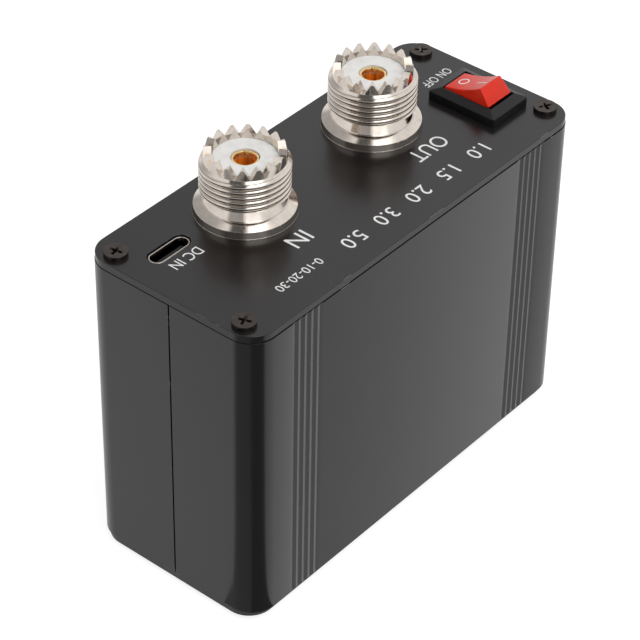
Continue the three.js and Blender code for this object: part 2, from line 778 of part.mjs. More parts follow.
function standoffGeometry() {
  const shape = polygon(standoffAcrossFlats / 2 / Math.cos(Math.PI / 6), 6);
  const blind = shape.clone();
  shape.holes.push(disc(boardScrewRadius + fitGap));
  const floorZ = mainBoardZ - boardScrewGrip - overrun;
  const foot = prism(blind, caseBottomZ, floorZ);
  return geometryOf(join(foot, prism(shape, floorZ, mainBoardZ, 4)));
}

function boardScrewGeometry() {
  return turned([
    [0, -boardThickness - boardScrewGrip],
    [boardScrewRadius, -boardThickness - boardScrewGrip],
    [boardScrewRadius, 0],
    [boardScrewHeadRadius, 0],
    [boardScrewHeadRadius, boardScrewHeadHeight / 2],
    [boardScrewHeadRadius / 2, boardScrewHeadHeight],
    [0, boardScrewHeadHeight],
  ], boardScrewSides);
}

const lapped = (size) => size + 2 * windowLap;
const windowSheet = rounded(lapped(windowWidth), lapped(windowDepth), windowCorner);
place("display_window", prism(windowSheet, caseBottomZ, windowBackZ, 3), clear);
place("display_glass", box(windowWidth, windowDepth, glassZ, displayBoardZ), glassBlack);
const backed = (size) => size + 2 * displayBoardMargin;
const displayBoard = box(backed(windowWidth), backed(windowDepth), displayBoardZ, displayBackZ);
place("display_board", displayBoard, boardGreen);
const headerY = backed(windowDepth) / 2 - headerInset - headerDepth / 2;
const header = box(headerWidth, headerDepth, displayBackZ, mainBoardZ, 0, headerY);
place("display_header", header, blackPlastic);
place("main_board", mainBoardGeometry(), boardGreen);
const controllerChip = box(chipWidth, chipWidth, mainBoardTopZ, mainBoardTopZ + chipHeight);
place("controller_chip", controllerChip, blackPlastic);

let standoffNumber = 0;
for (const edge of [-1, 1]) {
  for (const side of [-1, 1]) {
    standoffNumber += 1;
    const x = side * standoffX;
    const y = edge * standoffY;
    place(`board_standoff_${standoffNumber}`, standoffGeometry(), gold, x, y);
    place(`board_screw_${standoffNumber}`, boardScrewGeometry(), tin, x, y, mainBoardTopZ);
  }
}

// Pouch cell, taped to the broad wall
const cellBackY = innerY - cellTapeThickness;
const cellY = cellBackY - cellThickness / 2;
const cellLowZ = mainBoardTopZ + cellFloorGap;
const cellHighZ = couplerBottomZ - cellTopGap;
const cell = prism(rounded(cellWidth, cellThickness, cellEdge, 0, cellY), cellLowZ, cellHighZ, 3);
place("cell", cell, foil);
const tapeWidth = cellWidth - 2 * cellTapeMargin;
const tapeY = innerY - cellTapeThickness / 2;
const tapeLowZ = cellLowZ + cellTapeMargin;
const tapeHighZ = cellHighZ - cellTapeMargin;
const tape = box(tapeWidth, cellTapeThickness, tapeLowZ, tapeHighZ, 0, tapeY);
place("cell_tape", tape, foam);

export default meter;
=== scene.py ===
import json
import math

import bmesh
import bpy
from bpy.props import FloatProperty, FloatVectorProperty, IntProperty, PointerProperty, StringProperty
from bpy.types import Operator, Panel, PropertyGroup
from mathutils import Matrix, Vector

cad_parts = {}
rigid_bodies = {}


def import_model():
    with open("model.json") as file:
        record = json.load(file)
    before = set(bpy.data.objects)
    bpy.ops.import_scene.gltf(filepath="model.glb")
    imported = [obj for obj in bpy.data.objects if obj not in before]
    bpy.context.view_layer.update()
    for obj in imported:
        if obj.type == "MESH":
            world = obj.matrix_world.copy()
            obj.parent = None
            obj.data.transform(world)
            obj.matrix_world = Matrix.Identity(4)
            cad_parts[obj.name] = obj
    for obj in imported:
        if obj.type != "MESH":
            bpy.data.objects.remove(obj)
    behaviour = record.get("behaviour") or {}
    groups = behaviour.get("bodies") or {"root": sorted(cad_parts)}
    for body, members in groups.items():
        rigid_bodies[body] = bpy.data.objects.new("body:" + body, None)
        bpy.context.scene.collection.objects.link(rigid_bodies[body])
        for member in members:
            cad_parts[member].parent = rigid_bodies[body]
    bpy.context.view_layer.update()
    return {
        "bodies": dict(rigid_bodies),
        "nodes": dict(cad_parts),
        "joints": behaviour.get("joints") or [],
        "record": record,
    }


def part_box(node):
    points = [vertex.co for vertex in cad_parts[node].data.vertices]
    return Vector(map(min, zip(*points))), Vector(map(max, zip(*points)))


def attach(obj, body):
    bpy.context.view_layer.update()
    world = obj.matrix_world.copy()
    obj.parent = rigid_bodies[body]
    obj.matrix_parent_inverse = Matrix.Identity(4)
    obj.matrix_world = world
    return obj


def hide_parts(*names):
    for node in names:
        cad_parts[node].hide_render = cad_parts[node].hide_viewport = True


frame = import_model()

bl_info = {
    "name": "Pocket meter parts",
    "version": (1, 0, 0),
    "blender": (4, 5, 0),
    "location": "3D View > Sidebar > Meter",
    "description": "Dresses the meter's frame with finished parts, finishes and a studio",
    "category": "Object",
}

MILLI = 0.001
TINY = MILLI / 1000
METER = "meter"
ROCKER = "rocker"


def corners(node):
    """The low and the high corner of a node's box."""
    low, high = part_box(node)
    return Vector(low), Vector(high)


def middle(node):
    low, high = corners(node)
    return (low + high) / 2


CASE_LOW = corners("case_half_upper")[0]
CASE_HIGH = corners("case_half_lower")[1]
REAR_LOW, REAR_HIGH = corners("rear_panel")
FRONT_LOW, FRONT_HIGH = corners("front_panel")
REAR_FACE = REAR_HIGH.z
PIVOT = Vector(frame["joints"][0]["pos_m"])


# Properties. Their text is the name, and after a colon what the name leaves open.

def named(kind, text, default, **more):
    return kind(name=text.split(":")[0], description=text, default=default, **more)


def length(text, millimetres):
    return named(FloatProperty, text, millimetres * MILLI, unit="LENGTH", precision=5)


def degrees(text, value):
    return named(FloatProperty, text, math.radians(value), subtype="ANGLE")


def count(text, value, least=1):
    return named(IntProperty, text, value, min=least)


def amount(text, value, **more):
    return named(FloatProperty, text, value, min=0, **more)


def vector(text, value, **more):
    return named(FloatVectorProperty, text, value, size=3, **more)


def tint(text, color):
    return vector(text, color, subtype="COLOR", min=0, max=1)


def wording(text, value):
    return named(StringProperty, text, value)


# Sizes and colours that a user would change, and under them the small sizes that follow the real part

class MeterCase(PropertyGroup):
    """The split extruded case"""

    corner: length("Corner radius: of the long corners", 5)
    wall: length("Wall: thickness", 2)
    flutes: count("Flutes: in each band", 5)
    flute_start: length("First flute: from the middle of the broad side", 26.6)
    flute_pitch: length("Flute pitch", 1.6)
    flute_depth: length("Flute depth", 0.2)
    seam_gap: length("Seam width: between the two halves", 0.3)

    corner_steps = 16
    seam_shift = 0.45 * MILLI
    tongue_reach = 1.2 * MILLI
    tongue_thickness = 0.85 * MILLI
    channel = 3 * MILLI
    channel_hole = 1.6 * MILLI
    channel_slot = 1.4 * MILLI
    guide_place = 6.12 * MILLI
    guide_gap = 2.2 * MILLI
    guide_reach = 1.7 * MILLI
    guide_thickness = MILLI
    edge = 0.12 * MILLI


class MeterPanels(PropertyGroup):
    """The rear and front panels"""

    corner: length("Corner radius", 4.9)
    hole: length("Screw hole: radius", 1.6)
    socket_hole: length("Socket hole: radius", 7.9)
    seam: length("Seam: height, between case and panel", 0.24)
    window_width: length("Window width: along the broad side", 28)
    window_depth: length("Window depth: across the panel", 15)

    edge = 0.1 * MILLI
    seam_depth = 0.4 * MILLI
    slot_gap = 0.2 * MILLI
    cutout_gap = 0.15 * MILLI


class MeterScrews(PropertyGroup):
    """The panels' screws"""

    head: length("Head radius", 2.1)
    shank: length("Shank radius", 1.3)
    height: length("Head height", 0.8)
    recess_width: length("Recess width: of one bar of the cross", 0.62)
    recess_length: length("Recess length: of one bar of the cross", 2.7)

    recess_depth = 0.8 * MILLI
    edge = 0.18 * MILLI


class MeterSockets(PropertyGroup):
    """The coaxial sockets. Heights are above the rear panel's outer face"""

    flange: length("Flange radius: at its edge", 8.93)
    flange_edge: length("Flange edge: height of its side", 1.35)
    flange_height: length("Flange height: at the ridge on its conical top", 2.15)
    flange_inner: length("Flange inner radius: at that ridge", 7.37)
    neck: length("Neck radius: under the thread", 6.35)
    thread: length("Thread radius: at the crests", 7.9375)
    thread_start: length("Thread start: height of the lowest crest", 4.7)
    thread_end: length("Thread end: height of the last crest", 9.85)
    pitch: length("Pitch: of the thread", 1.0583)
    thread_depth: length("Thread depth", 0.43)
    crown: length("Crown radius: at its foot", 7.2)
    valley: length("Valley height: between the teeth", 10.6)
    tip: length("Tip height: of the teeth", 12.5)
    teeth: count("Teeth: of the crown", 16, 3)
    phase: degrees("Phase: from +X to a tooth's middle", 15)
    notch: degrees("Notch half angle", 30)
    bore: length("Bore: radius", 5.65)
    tail: length("Tail radius: behind the panel", 7.6)
    tail_end: length("Tail length: from the panel's face", 8)
    insulator_top: length("Insulator top: height", 10.6)
    contact: length("Contact radius", 2.5)
    contact_bore: length("Contact bore: radius", 1.95)
    contact_top: length("Contact top: height", 10.35)
    cup: length("Cup radius: at the contact's tail", 1.6)
    cup_end: length("Cup end: from the panel's face", 14)

    steps = 96
    skirt = 9.1 * MILLI
    ridge = 0.03 * MILLI
    flare = 0.04 * MILLI
    neck_curve = 0.25 * MILLI
    neck_steps = 5
    neck_slope = math.radians(66)
    neck_top = 4.1 * MILLI
    thread_slope = math.radians(30)
    root = 0.12 * MILLI
    crest_round = 0.12 * MILLI
    crown_tip = 7 * MILLI
    lip = 2 * MILLI
    lip_bore = 4 * MILLI
    gap = 0.03 * MILLI
    contact_slot = 0.12 * MILLI
    contact_slot_depth = 0.9 * MILLI
    contact_depth = 9 * MILLI
    cup_bore = 1.12 * MILLI
    cup_depth = 4 * MILLI


class MeterSwitch(PropertyGroup):
    """The rocker switch. Heights are above the rear panel's outer face"""

    bezel_width: length("Bezel width", 10.2)
    bezel_length: length("Bezel length", 14.8)
    bezel_edge: length("Bezel edge: height of its side", 1.6)
    bezel_rim: length("Bezel rim: height round the mouth", 2.3)
    mouth_width: length("Mouth width", 6.9)
    mouth_length: length("Mouth length", 10.9)
    body_width: length("Body width: in the panel", 8.6)
    body_length: length("Body length: in the panel", 13)
    body_depth: length("Body depth: from the panel's face", 11.5)
    tilt: degrees("Tilt: of the rocker at rest", 20)
    skirt: length("Rocker width: at the pivot", 6.6)
    ridge_width: length("Ridge width: of the rocker's ends", 5.8)
    ridge_height: length("Ridge height: above the pivot", 4)
    ridge_span: length("Ridge span: between the two ridges", 8.35)
    sag: length("Saddle sag: between the ridges", 0.42)
    end: length("End length: down the rocker's end face", 3.7)
    ring: length("Ring radius: of the round OFF mark", 1.05)

    bezel_corner = 0.5 * MILLI
    land = 0.15 * MILLI
    cavity_length = 11.6 * MILLI
    cavity_top = 1.2 * MILLI
    cavity_floor = 3.2 * MILLI
    barb_width = 4 * MILLI
    barb_reach = 0.7 * MILLI
    barb_drop = 3.5 * MILLI
    edge = 0.1 * MILLI
    skirt_top = MILLI
    saddle_steps = 20
    barrel = 2.5 * MILLI
    trunnion = 0.9 * MILLI
    trunnion_reach = 3.9 * MILLI
    pin_gap = 0.08 * MILLI
    rocker_edge = 0.22 * MILLI
    mark_line = 0.26 * MILLI


class MeterPort(PropertyGroup):
    """The charging port"""

    wall: length("Shell wall: thickness", 0.3)
    tongue_width: length("Tongue width", 6.7)
    tongue_height: length("Tongue height", 0.7)
    pads: count("Pads: on each side of the tongue", 8)

    tongue_sunk = MILLI
    back = 2 * MILLI
    back_gap = 0.15 * MILLI
    tongue_edge = 0.12 * MILLI
    pad_start = 1.4 * MILLI
    pad_end = 3 * MILLI
    pad_proud = 0.02 * MILLI


class MeterMarks(PropertyGroup):
    """The generic printing on the rear panel"""

    proud: length("Ink thickness", 0.03)
    left: wording("Left socket's mark", "IN")
    right: wording("Right socket's mark", "OUT")
    scale: wording("Scale: plain numbers", "1.0   1.5   2.0   3.0   5.0")
    fine: wording("Fine scale: plain numbers", "0-10-20-30")
    switch: wording("Switch's mark", "ON OFF")
    port: wording("Port's mark", "DC IN")


class MeterFinish(PropertyGroup):
    """Colours of the finishes"""

    case: tint("Case", (0.0112, 0.0100, 0.0106))
    panel: tint("Panels", (0.0092, 0.0078, 0.0080))
    screw: tint("Screws", (0.085, 0.073, 0.066))
    nickel: tint("Nickel: plating of the sockets", (0.70, 0.632, 0.568))
    gold: tint("Gold: plating of the centre contacts", (0.88, 0.66, 0.34))
    # Painted glow: the contact bore's colour stands in for light reflected many times inside the bore, not for
    # the gold's own colour
    bore: tint("Contact bore: glow inside the centre contacts", (0.90, 0.24, 0.02))
    white: tint("Insulator", (0.90, 0.89, 0.87))
    red: tint("Rocker", (0.83, 0.030, 0.010))
    bezel: tint("Bezel: and other black mouldings", (0.0085, 0.008, 0.0085))
    tin: tint("Tin: plating", (0.60, 0.56, 0.50))
    board: tint("Circuit boards", (0.010, 0.085, 0.035))
    copper: tint("Copper", (0.62, 0.24, 0.10))
    ferrite: tint("Ferrite: cores", (0.035, 0.037, 0.040))
    foil: tint("Foil: of the cell", (0.50, 0.52, 0.55))
    ink: tint("Ink", (0.90, 0.90, 0.90))


class MeterStudio(PropertyGroup):
    """Camera and lights"""

    place: vector(
        "Camera place", (-0.29375, -0.23674, REAR_FACE + 0.26796), subtype="TRANSLATION", unit="LENGTH"
    )
    right: vector("Camera right: the picture's right", (0.64186, -0.76669, 0.01425))
    above: vector("Camera up: the picture's top", (0.46921, 0.40738, 0.78351))
    lens: amount("Lens: focal length in millimetres on a 36 mm sensor", 150.70)
    key: amount("Key light: power of the soft box over the camera", 4.2, unit="POWER")
    sky: amount("Sky: light all round", 0.36)
    floor_tone: amount("Floor: tone", 0.36, max=1)
    floor_white: amount("Floor white: lifts the floor to white where the camera sees it", 0.84)
    floor_glow: amount("Floor glow: lifts the floor where metal mirrors it", 0.63)
    box: amount("Soft box: tone of the bright box in reflections", 2.6)
    dark: amount("Dark side: tone of the dark gap behind the camera", 0.12)


GROUPS = {
    "meter_case": MeterCase,
    "meter_panels": MeterPanels,
    "meter_screws": MeterScrews,
    "meter_sockets": MeterSockets,
    "meter_switch": MeterSwitch,
    "meter_port": MeterPort,
    "meter_marks": MeterMarks,
    "meter_finish": MeterFinish,
    "meter_studio": MeterStudio,
}


# Edges sharper than this many degrees stay sharp in the shading
SMOOTH = 30
SMOOTH_TURNED = 28
SMOOTH_FLUTED = 20
SMOOTH_FLAT = 12


# Modelling by hand

def object_mode():
    if bpy.context.object and bpy.context.object.mode != "OBJECT":
        bpy.ops.object.mode_set(mode="OBJECT")


def clear_selection():
    object_mode()
    bpy.ops.object.select_all(action="DESELECT")


def activate(piece):
    clear_selection()
    piece.select_set(True)
    bpy.context.view_layer.objects.active = piece


def edit(piece, action="SELECT", kind=None):
    """Enters edit mode with everything selected, or nothing."""
    activate(piece)
    bpy.ops.object.mode_set(mode="EDIT")
    if kind:
        bpy.ops.mesh.select_mode(type=kind)
    bpy.ops.mesh.select_all(action=action)


def settle(piece):
    """Puts the piece's place, turn and scale into its mesh."""
    activate(piece)
    bpy.ops.object.transform_apply(location=True, rotation=True, scale=True)
    return piece


def added(name):
    piece = bpy.context.object
    piece.name = piece.data.name = name
    return settle(piece)


def block(name, first, second):
    """A box between two opposite corners."""
    clear_selection()
    low, high = map(Vector, zip(*map(sorted, zip(first, second))))
    bpy.ops.mesh.primitive_cube_add(size=1, location=(low + high) / 2, scale=high - low)
    return added(name)


def drum(name, radius, low, high, steps, x=0, y=0):
    clear_selection()
    place = (x, y, (low + high) / 2)
    bpy.ops.mesh.primitive_cylinder_add(vertices=steps, radius=radius, depth=high - low, location=place)
    return added(name)


def drawn(name, points, closed=True):
    """A line through the points, drawn corner by corner, and a face inside it if it is closed."""
    clear_selection()
    bpy.ops.mesh.primitive_plane_add(size=MILLI)
    piece = added(name)
    points = [Vector(point) for point in points]
    edit(piece, kind="VERT")
    bpy.ops.mesh.merge(type="CENTER")
    bpy.ops.transform.translate(value=points[0])
    for here, there in zip(points, points[1:]):
        bpy.ops.mesh.extrude_region_move(TRANSFORM_OT_translate={"value": there - here})
    if closed:
        bpy.ops.mesh.select_all(action="SELECT")
        bpy.ops.mesh.edge_face_add()
    object_mode()
    return piece


def tidy(piece):
    """Merges doubles and turns the faces outwards."""
    edit(piece)
    bpy.ops.mesh.remove_doubles(threshold=TINY)
    bpy.ops.mesh.dissolve_degenerate(threshold=TINY)
    bpy.ops.mesh.normals_make_consistent(inside=False)
    object_mode()
    return piece


def extruded(piece, shift):
    """Pulls the piece's one flat face along a vector, into a solid."""
    edit(piece)
    bpy.ops.mesh.extrude_region_move(TRANSFORM_OT_translate={"value": shift})
    return tidy(piece)


def turned(name, profile, steps, closed=False):
    """A profile of (radius, height) pairs, spun round the vertical axis."""
    if closed:
        profile = [*profile, profile[0]]
    piece = drawn(name, [(radius, 0, height) for radius, height in profile], closed=False)
    edit(piece)
    bpy.ops.mesh.spin(steps=steps, angle=math.tau, center=(0, 0, 0), axis=(0, 0, 1))
    return tidy(piece)


def chosen(piece, kind, test):
    """Enters edit mode with what passes a test of its places or normal selected."""
    edit(piece, "DESELECT", kind)
    mesh = bmesh.from_edit_mesh(piece.data)
    if kind == "VERT":
        found = [corner for corner in mesh.verts if test(corner.co)]
    elif kind == "EDGE":
        found = [side for side in mesh.edges if test(*(corner.co for corner in side.verts))]
    else:
        found = [face for face in mesh.faces if test(face.normal)]
    for item in found:
        item.select_set(True)
    mesh.select_flush_mode()
    bmesh.update_edit_mesh(piece.data)


def shaped(piece, kind, **settings):
    """Adds a modifier and applies it."""
    activate(piece)
    modifier = piece.modifiers.new(kind.title(), kind)
    for name, value in settings.items():
        setattr(modifier, name, value)
    bpy.ops.object.modifier_apply(modifier=modifier.name)
    return piece


def rounded(piece, width, segments=3, angle=35):
    """Rounds every edge that is sharper than an angle."""
    return shaped(
        piece, "BEVEL", width=width, segments=segments, limit_method="ANGLE",
        angle_limit=math.radians(angle), use_clamp_overlap=True
    )


def combined(piece, other, operation="UNION"):
    shaped(piece, "BOOLEAN", operation=operation, solver="EXACT", object=other)
    bpy.data.objects.remove(other)
    return piece


def carved(piece, *cutters):
    for cutter in cutters:
        combined(piece, cutter, "DIFFERENCE")
    return piece


def joined(piece, *others):
    activate(piece)
    for other in others:
        other.select_set(True)
    bpy.ops.object.join()
    return piece


def duplicate(piece, name):
    activate(piece)
    bpy.ops.object.duplicate(linked=False)
    copy = bpy.context.object
    copy.name = copy.data.name = name
    return copy


def moved(piece, shift=(0, 0, 0), turn=0, axis="Z"):
    piece.rotation_euler["XYZ".index(axis)] = turn
    piece.location = shift
    return settle(piece)


def stadium(name, width, height, low, high, centre, steps=32):
    """An upright prism with half round ends."""
    piece = drum(name, height / 2, low, high, steps, centre.x, centre.y)
    for side in (-1, 1):
        chosen(piece, "VERT", lambda place: side * (place.x - centre.x) > TINY)
        bpy.ops.transform.translate(value=(side * (width - height) / 2, 0, 0))
    object_mode()
    return piece


def round_plate(name, low, high, corner, steps=16):
    """A block whose upright edges are rounded to a radius."""
    piece = block(name, low, high)
    chosen(piece, "EDGE", lambda a, b: abs(a.z - b.z) > MILLI / 10)
    bpy.ops.mesh.bevel(offset=corner, segments=steps, affect="EDGES", offset_type="OFFSET")
    object_mode()
    return piece


def finished(piece, body, slot, finish, *nodes, smooth=SMOOTH):
    """Shades the piece and says what it rides on, what it is made of and what it stands for."""
    activate(piece)
    bpy.ops.object.shade_smooth_by_angle(angle=math.radians(smooth))
    piece.data.materials.clear()
    piece.data.materials.append(FINISHES[finish])
    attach(piece, body)
    if nodes:
        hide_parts(*nodes)
    return piece


# Finishes

class Nodes:
    """Adds and links the shader nodes of one tree."""

    def __init__(self, tree):
        self.tree = tree

    def add(self, kind, **settings):
        node = self.tree.nodes.new(kind)
        for name, value in settings.items():
            setattr(node, name, value)
        return node

    def put(self, socket, value):
        """Gives a socket a value or another node's output."""
        if isinstance(value, bpy.types.NodeSocket):
            self.tree.links.new(value, socket)
        else:
            socket.default_value = value

    def set(self, node, **values):
        for name, value in values.items():
            self.put(node.inputs[name.replace("_", " ")], value)
        return node

    def range(self, value, low, high, to_low=0.0, to_high=1.0, **settings):
        """Goes from one value or output to another, as the given one goes from low to high."""
        node = self.add("ShaderNodeMapRange", **settings)
        self.set(node, Value=value, From_Min=low, From_Max=high, To_Min=to_low, To_Max=to_high)
        return node.outputs["Result"]

    def combine(self, kind, operation, *values):
        node = self.add(kind, operation=operation)
        for socket, value in zip(node.inputs, values):
            self.put(socket, value)
        return node.outputs["Value"]

    def math(self, operation, first, *others):
        for other in others:
            first = self.combine("ShaderNodeMath", operation, first, other)
        return first

    def dot(self, first, second):
        return self.combine("ShaderNodeVectorMath", "DOT_PRODUCT", first, second)

    def band(self, way, aim, low, high, to_low, to_high):
        """A soft step between two tones, along a direction given as azimuth and height in degrees."""
        azimuth, rise = map(math.radians, aim)
        aim = (math.cos(azimuth) * math.cos(rise), math.sin(azimuth) * math.cos(rise), math.sin(rise))
        return self.range(self.dot(way, aim), low, high, to_low, to_high, interpolation_type="SMOOTHSTEP")

    def rays(self, *names):
        """1 for rays of the kinds named."""
        path = self.add("ShaderNodeLightPath")
        return self.math("MAXIMUM", *(path.outputs[f"Is {name} Ray"] for name in names))


class Finish(Nodes):
    """A procedural material, built round one shader."""

    def __init__(self, name, color, roughness, metallic=0.0, **more):
        self.material = bpy.data.materials.new(name)
        self.material.use_nodes = True
        super().__init__(self.material.node_tree)
        self.shader = self.tree.nodes["Principled BSDF"]
        self.look(Base_Color=(*color, 1), Roughness=roughness, Metallic=metallic, **more)
        self.place = self.add("ShaderNodeTexCoord").outputs["Object"]
        self.bend = None

    def look(self, **values):
        self.set(self.shader, **values)

    def texture(self, kind, output, stretch=(1, 1, 1), **values):
        mapping = self.set(self.add("ShaderNodeMapping"), Vector=self.place, Scale=stretch)
        return self.set(self.add(kind), Vector=mapping.outputs["Vector"], **values).outputs[output]

    def noise(self, scale, detail=3.0, stretch=(1, 1, 1)):
        return self.texture("ShaderNodeTexNoise", "Fac", stretch, Scale=scale, Detail=detail, Roughness=0.55)

    def cells(self, scale):
        return self.texture("ShaderNodeTexVoronoi", "Distance", Scale=scale)

    def height(self):
        return self.set(self.add("ShaderNodeSeparateXYZ"), Vector=self.place).outputs["Z"]

    def mix(self, amount, first, second):
        node = self.add("ShaderNodeMix", data_type="RGBA")
        for index, value in ((0, amount), (6, first), (7, second)):
            self.put(node.inputs[index], (*value, 1) if isinstance(value, tuple) else value)
        return node.outputs[2]

    def recolor(self, amount, color):
        """Mixes a color into the one that the shader has."""
        plain = self.shader.inputs["Base Color"].links[0].from_socket
        self.look(Base_Color=self.mix(amount, plain, color))

    def bump(self, height, strength, distance):
        node = self.set(self.add("ShaderNodeBump"), Height=height, Strength=strength, Distance=distance)
        if self.bend:
            self.set(node, Normal=self.bend)
        self.bend = node.outputs["Normal"]
        self.look(Normal=self.bend)

    def bevel(self, radius):
        return self.set(self.add("ShaderNodeBevel", samples=4), Radius=radius).outputs["Normal"]

    def soften(self, radius):
        """Rounds sharp edges in the shading."""
        self.bend = self.bevel(radius)
        self.look(Normal=self.bend)

    def edges(self, radius):
        """How close a point is to a sharp edge."""
        plain = self.add("ShaderNodeNewGeometry").outputs["Normal"]
        return self.range(self.math("SUBTRACT", 1.0, self.dot(self.bevel(radius), plain)), 0.02, 0.2)


FINISHES = {}
BARE_METAL = (0.36, 0.35, 0.34)
WEAR_WIDTH = MILLI / 4
WEAR_START, WEAR_END = 0.59, 0.62
FINE = MILLI / 50


def shade(color, share):
    return tuple(channel * share for channel in color)


def anodised(name, color, roughness, grain):
    """Faintly clouded and grained, and worn to bare metal at some edges."""
    finish = Finish(name, color, roughness)
    speck = finish.noise(9000, 2)
    cloud = finish.range(finish.noise(60, 4), 0.35, 0.65)
    patches = finish.range(finish.noise(210, 5), WEAR_START, WEAR_END)
    finish.look(
        Base_Color=finish.mix(cloud, shade(color, 0.9), shade(color, 1.1)),
        Roughness=finish.range(speck, 0.3, 0.7, roughness - grain, roughness + grain)
    )
    finish.recolor(finish.math("MULTIPLY", finish.edges(WEAR_WIDTH), patches), BARE_METAL)
    finish.bump(speck, 0.06, FINE)
    finish.bump(finish.noise(900, 2, (1, 1, 0.02)), 0.05, FINE * 1.5)
    return finish


def plated(name, color, roughness, lathe=0.0, soften=0.06 * MILLI):
    """Metal with uneven gloss, and with lathe marks if it was turned."""
    finish = Finish(name, color, roughness, 1.0)
    finish.soften(soften)
    cloud = finish.range(finish.noise(500, 4), 0.4, 0.7)
    finish.look(
        Base_Color=finish.mix(cloud, color, shade(color, 0.86)),
        Roughness=finish.range(finish.noise(1800), 0.35, 0.75, roughness * 0.7, roughness * 1.8)
    )
    finish.bump(finish.noise(2500, 2, (1, 1, 3)), 0.06, FINE)
    if lathe:
        finish.bump(finish.noise(14000, 2, (0.01, 0.01, 1)), lathe, FINE)
    return finish


def gold_with_painted_glow(name, color, roughness, painted_glow):
    """Gold plating with a painted glow in its bore: an orange colour that stands in for the light of many
    reflections in it.
    """
    finish = plated(name, color, roughness)
    mouth = REAR_FACE + bpy.context.scene.meter_sockets.contact_top
    inside = finish.range(finish.height(), mouth - MILLI / 2, mouth - 1.3 * MILLI)
    behind = finish.range(finish.height(), REAR_FACE, REAR_FACE + MILLI)
    inside = finish.math("MULTIPLY", inside, behind)
    glow_streaks = finish.range(finish.noise(1300, 2, (1, 1, 0.02)), 0.4, 0.62)
    # Painted glow: below the mouth the colour turns orange and the metal turns dull, standing in for light
    # bouncing inside the bore
    finish.recolor(inside, finish.mix(glow_streaks, shade(painted_glow, 0.45), painted_glow))
    finish.look(Metallic=finish.range(inside, 0, 1, 1, 0.15))
    return finish


def plated_with_painted_shade(name, color, roughness, shade_fall):
    """Plating with painted shade: it darkens below the panel's face, standing in for the shade inside a narrow
    hole.
    """
    finish = plated(name, color, roughness)
    # Painted shade: the plating fades nearly to black below the panel's face, where the hole's inside is in
    # shade
    finish.recolor(finish.range(finish.height(), REAR_FACE, REAR_FACE - shade_fall), shade(color, 0.05))
    return finish


def moulded(name, color, roughness, **more):
    """Slightly uneven plastic, ink or ceramic."""
    finish = Finish(name, color, roughness, **more)
    cloud = finish.range(finish.noise(400), 0.4, 0.7)
    finish.look(
        Base_Color=finish.mix(cloud, color, shade(color, 0.88)),
        Roughness=finish.range(finish.noise(3000), 0.3, 0.7, roughness * 0.8, roughness * 1.2)
    )
    finish.bump(finish.noise(5000, 2), 0.1, FINE / 2)
    return finish


def laminate(name, color):
    """A circuit board with its traces and pads."""
    finish = Finish(name, color, 0.4, Coat_Weight=0.3, Coat_Roughness=0.15)
    traces = finish.range(finish.cells(420), 0.12, 0.16)
    pads = finish.range(finish.cells(900), 0.1, 0.14)
    finish.look(Base_Color=finish.mix(pads, (0.5, 0.47, 0.4), finish.mix(traces, (0.06, 0.22, 0.09), color)))
    finish.bump(traces, 0.3, FINE * 1.5)
    return finish


def clear_sheet(name):
    finish = Finish(name, (0.92, 0.95, 0.96), 0.05, Transmission_Weight=1.0, IOR=1.49)
    finish.look(Roughness=finish.range(finish.noise(700), 0.4, 0.8, 0.03, 0.12))
    return finish


def make_finishes():
    tones = bpy.context.scene.meter_finish
    tone = {name: tuple(getattr(tones, name)) for name in type(tones).__annotations__}
    finishes = dict(
        case=anodised("Anodised case", tone["case"], 0.23, 0.03),
        panel=anodised("Anodised panel", tone["panel"], 0.24, 0.03),
        screw=plated("Black oxide", tone["screw"], 0.35),
        nickel=plated("Nickel plate", tone["nickel"], 0.09, 0.10, MILLI / 10),
        # The centre contacts' gold gets a painted glow in its bore
        gold=gold_with_painted_glow("Gold plate with painted bore glow", tone["gold"], 0.16, tone["bore"]),
        brass=plated("Bare brass", tone["gold"], 0.3),
        tin=plated("Tin plate", tone["tin"], 0.3),
        # The port's sleeve: plating with painted shade inside the hole
        sleeve=plated_with_painted_shade("Plated sleeve", tone["nickel"], 0.2, 0.9 * MILLI),
        copper=plated("Bare copper", tone["copper"], 0.3),
        foil=plated("Laminated foil", tone["foil"], 0.4),
        white=moulded("White insulator", tone["white"], 0.4, Subsurface_Weight=0.1, Subsurface_Scale=MILLI),
        bezel=moulded("Black moulding", tone["bezel"], 0.42, Specular_IOR_Level=0.3),
        red=moulded("Red moulding", tone["red"], 0.2, Specular_IOR_Level=0.3),
        ferrite=moulded("Ferrite", tone["ferrite"], 0.75),
        foam=moulded("Foam tape", tone["bezel"], 0.9),
        glass=moulded("Display glass", tone["bezel"], 0.06, Coat_Weight=1.0, Coat_Roughness=0.02),
        clear=clear_sheet("Clear window"),
        board=laminate("Circuit board", tone["board"]),
        ink=moulded("White ink", tone["ink"], 0.5),
    )
    FINISHES.update((name, finish.material) for name, finish in finishes.items())


# The stage

# What metal mirrors, each as soft steps: azimuth and height in degrees, start, end, tone before, tone after
DARK_GAP = (
    ((0, 90), 0.48, 0.58, 0, 1),
    ((219, 0), -0.42, -0.32, 0, 1),
    ((129, 0), -0.03, 0.02, 0, 1),
    ((105, 0), 0.21, 0.28, 1, 0),
)
DARK_ROOM = (
    ((0, 90), 0.48, 0.58, 1, 0),
    ((219, 0), 0.30, 0.45, 0, 1),
    ((129, 0), 0.0, 0.08, 0, 1),
    ((129, 0), 0.58, 0.75, 1, 0),
)
SOFT_BOX = (
    ((0, 90), 0.15, 0.30, 0, 1),
    ((219, 0), -0.42, -0.32, 0, 1),
    ((309, 0), 0.03, 0.08, 0, 1),
    ((331, 0), 0.18, 0.48, 1, 0),
    ((219, 0), 0.6, 0.9, 1, 0.35),
)
FAR_SIDE = ((85, 38), 0.78, 0.92, 1, 0.5)
ROOM_SHARE = 3.5
WHITE = (1, 1, 1, 1)
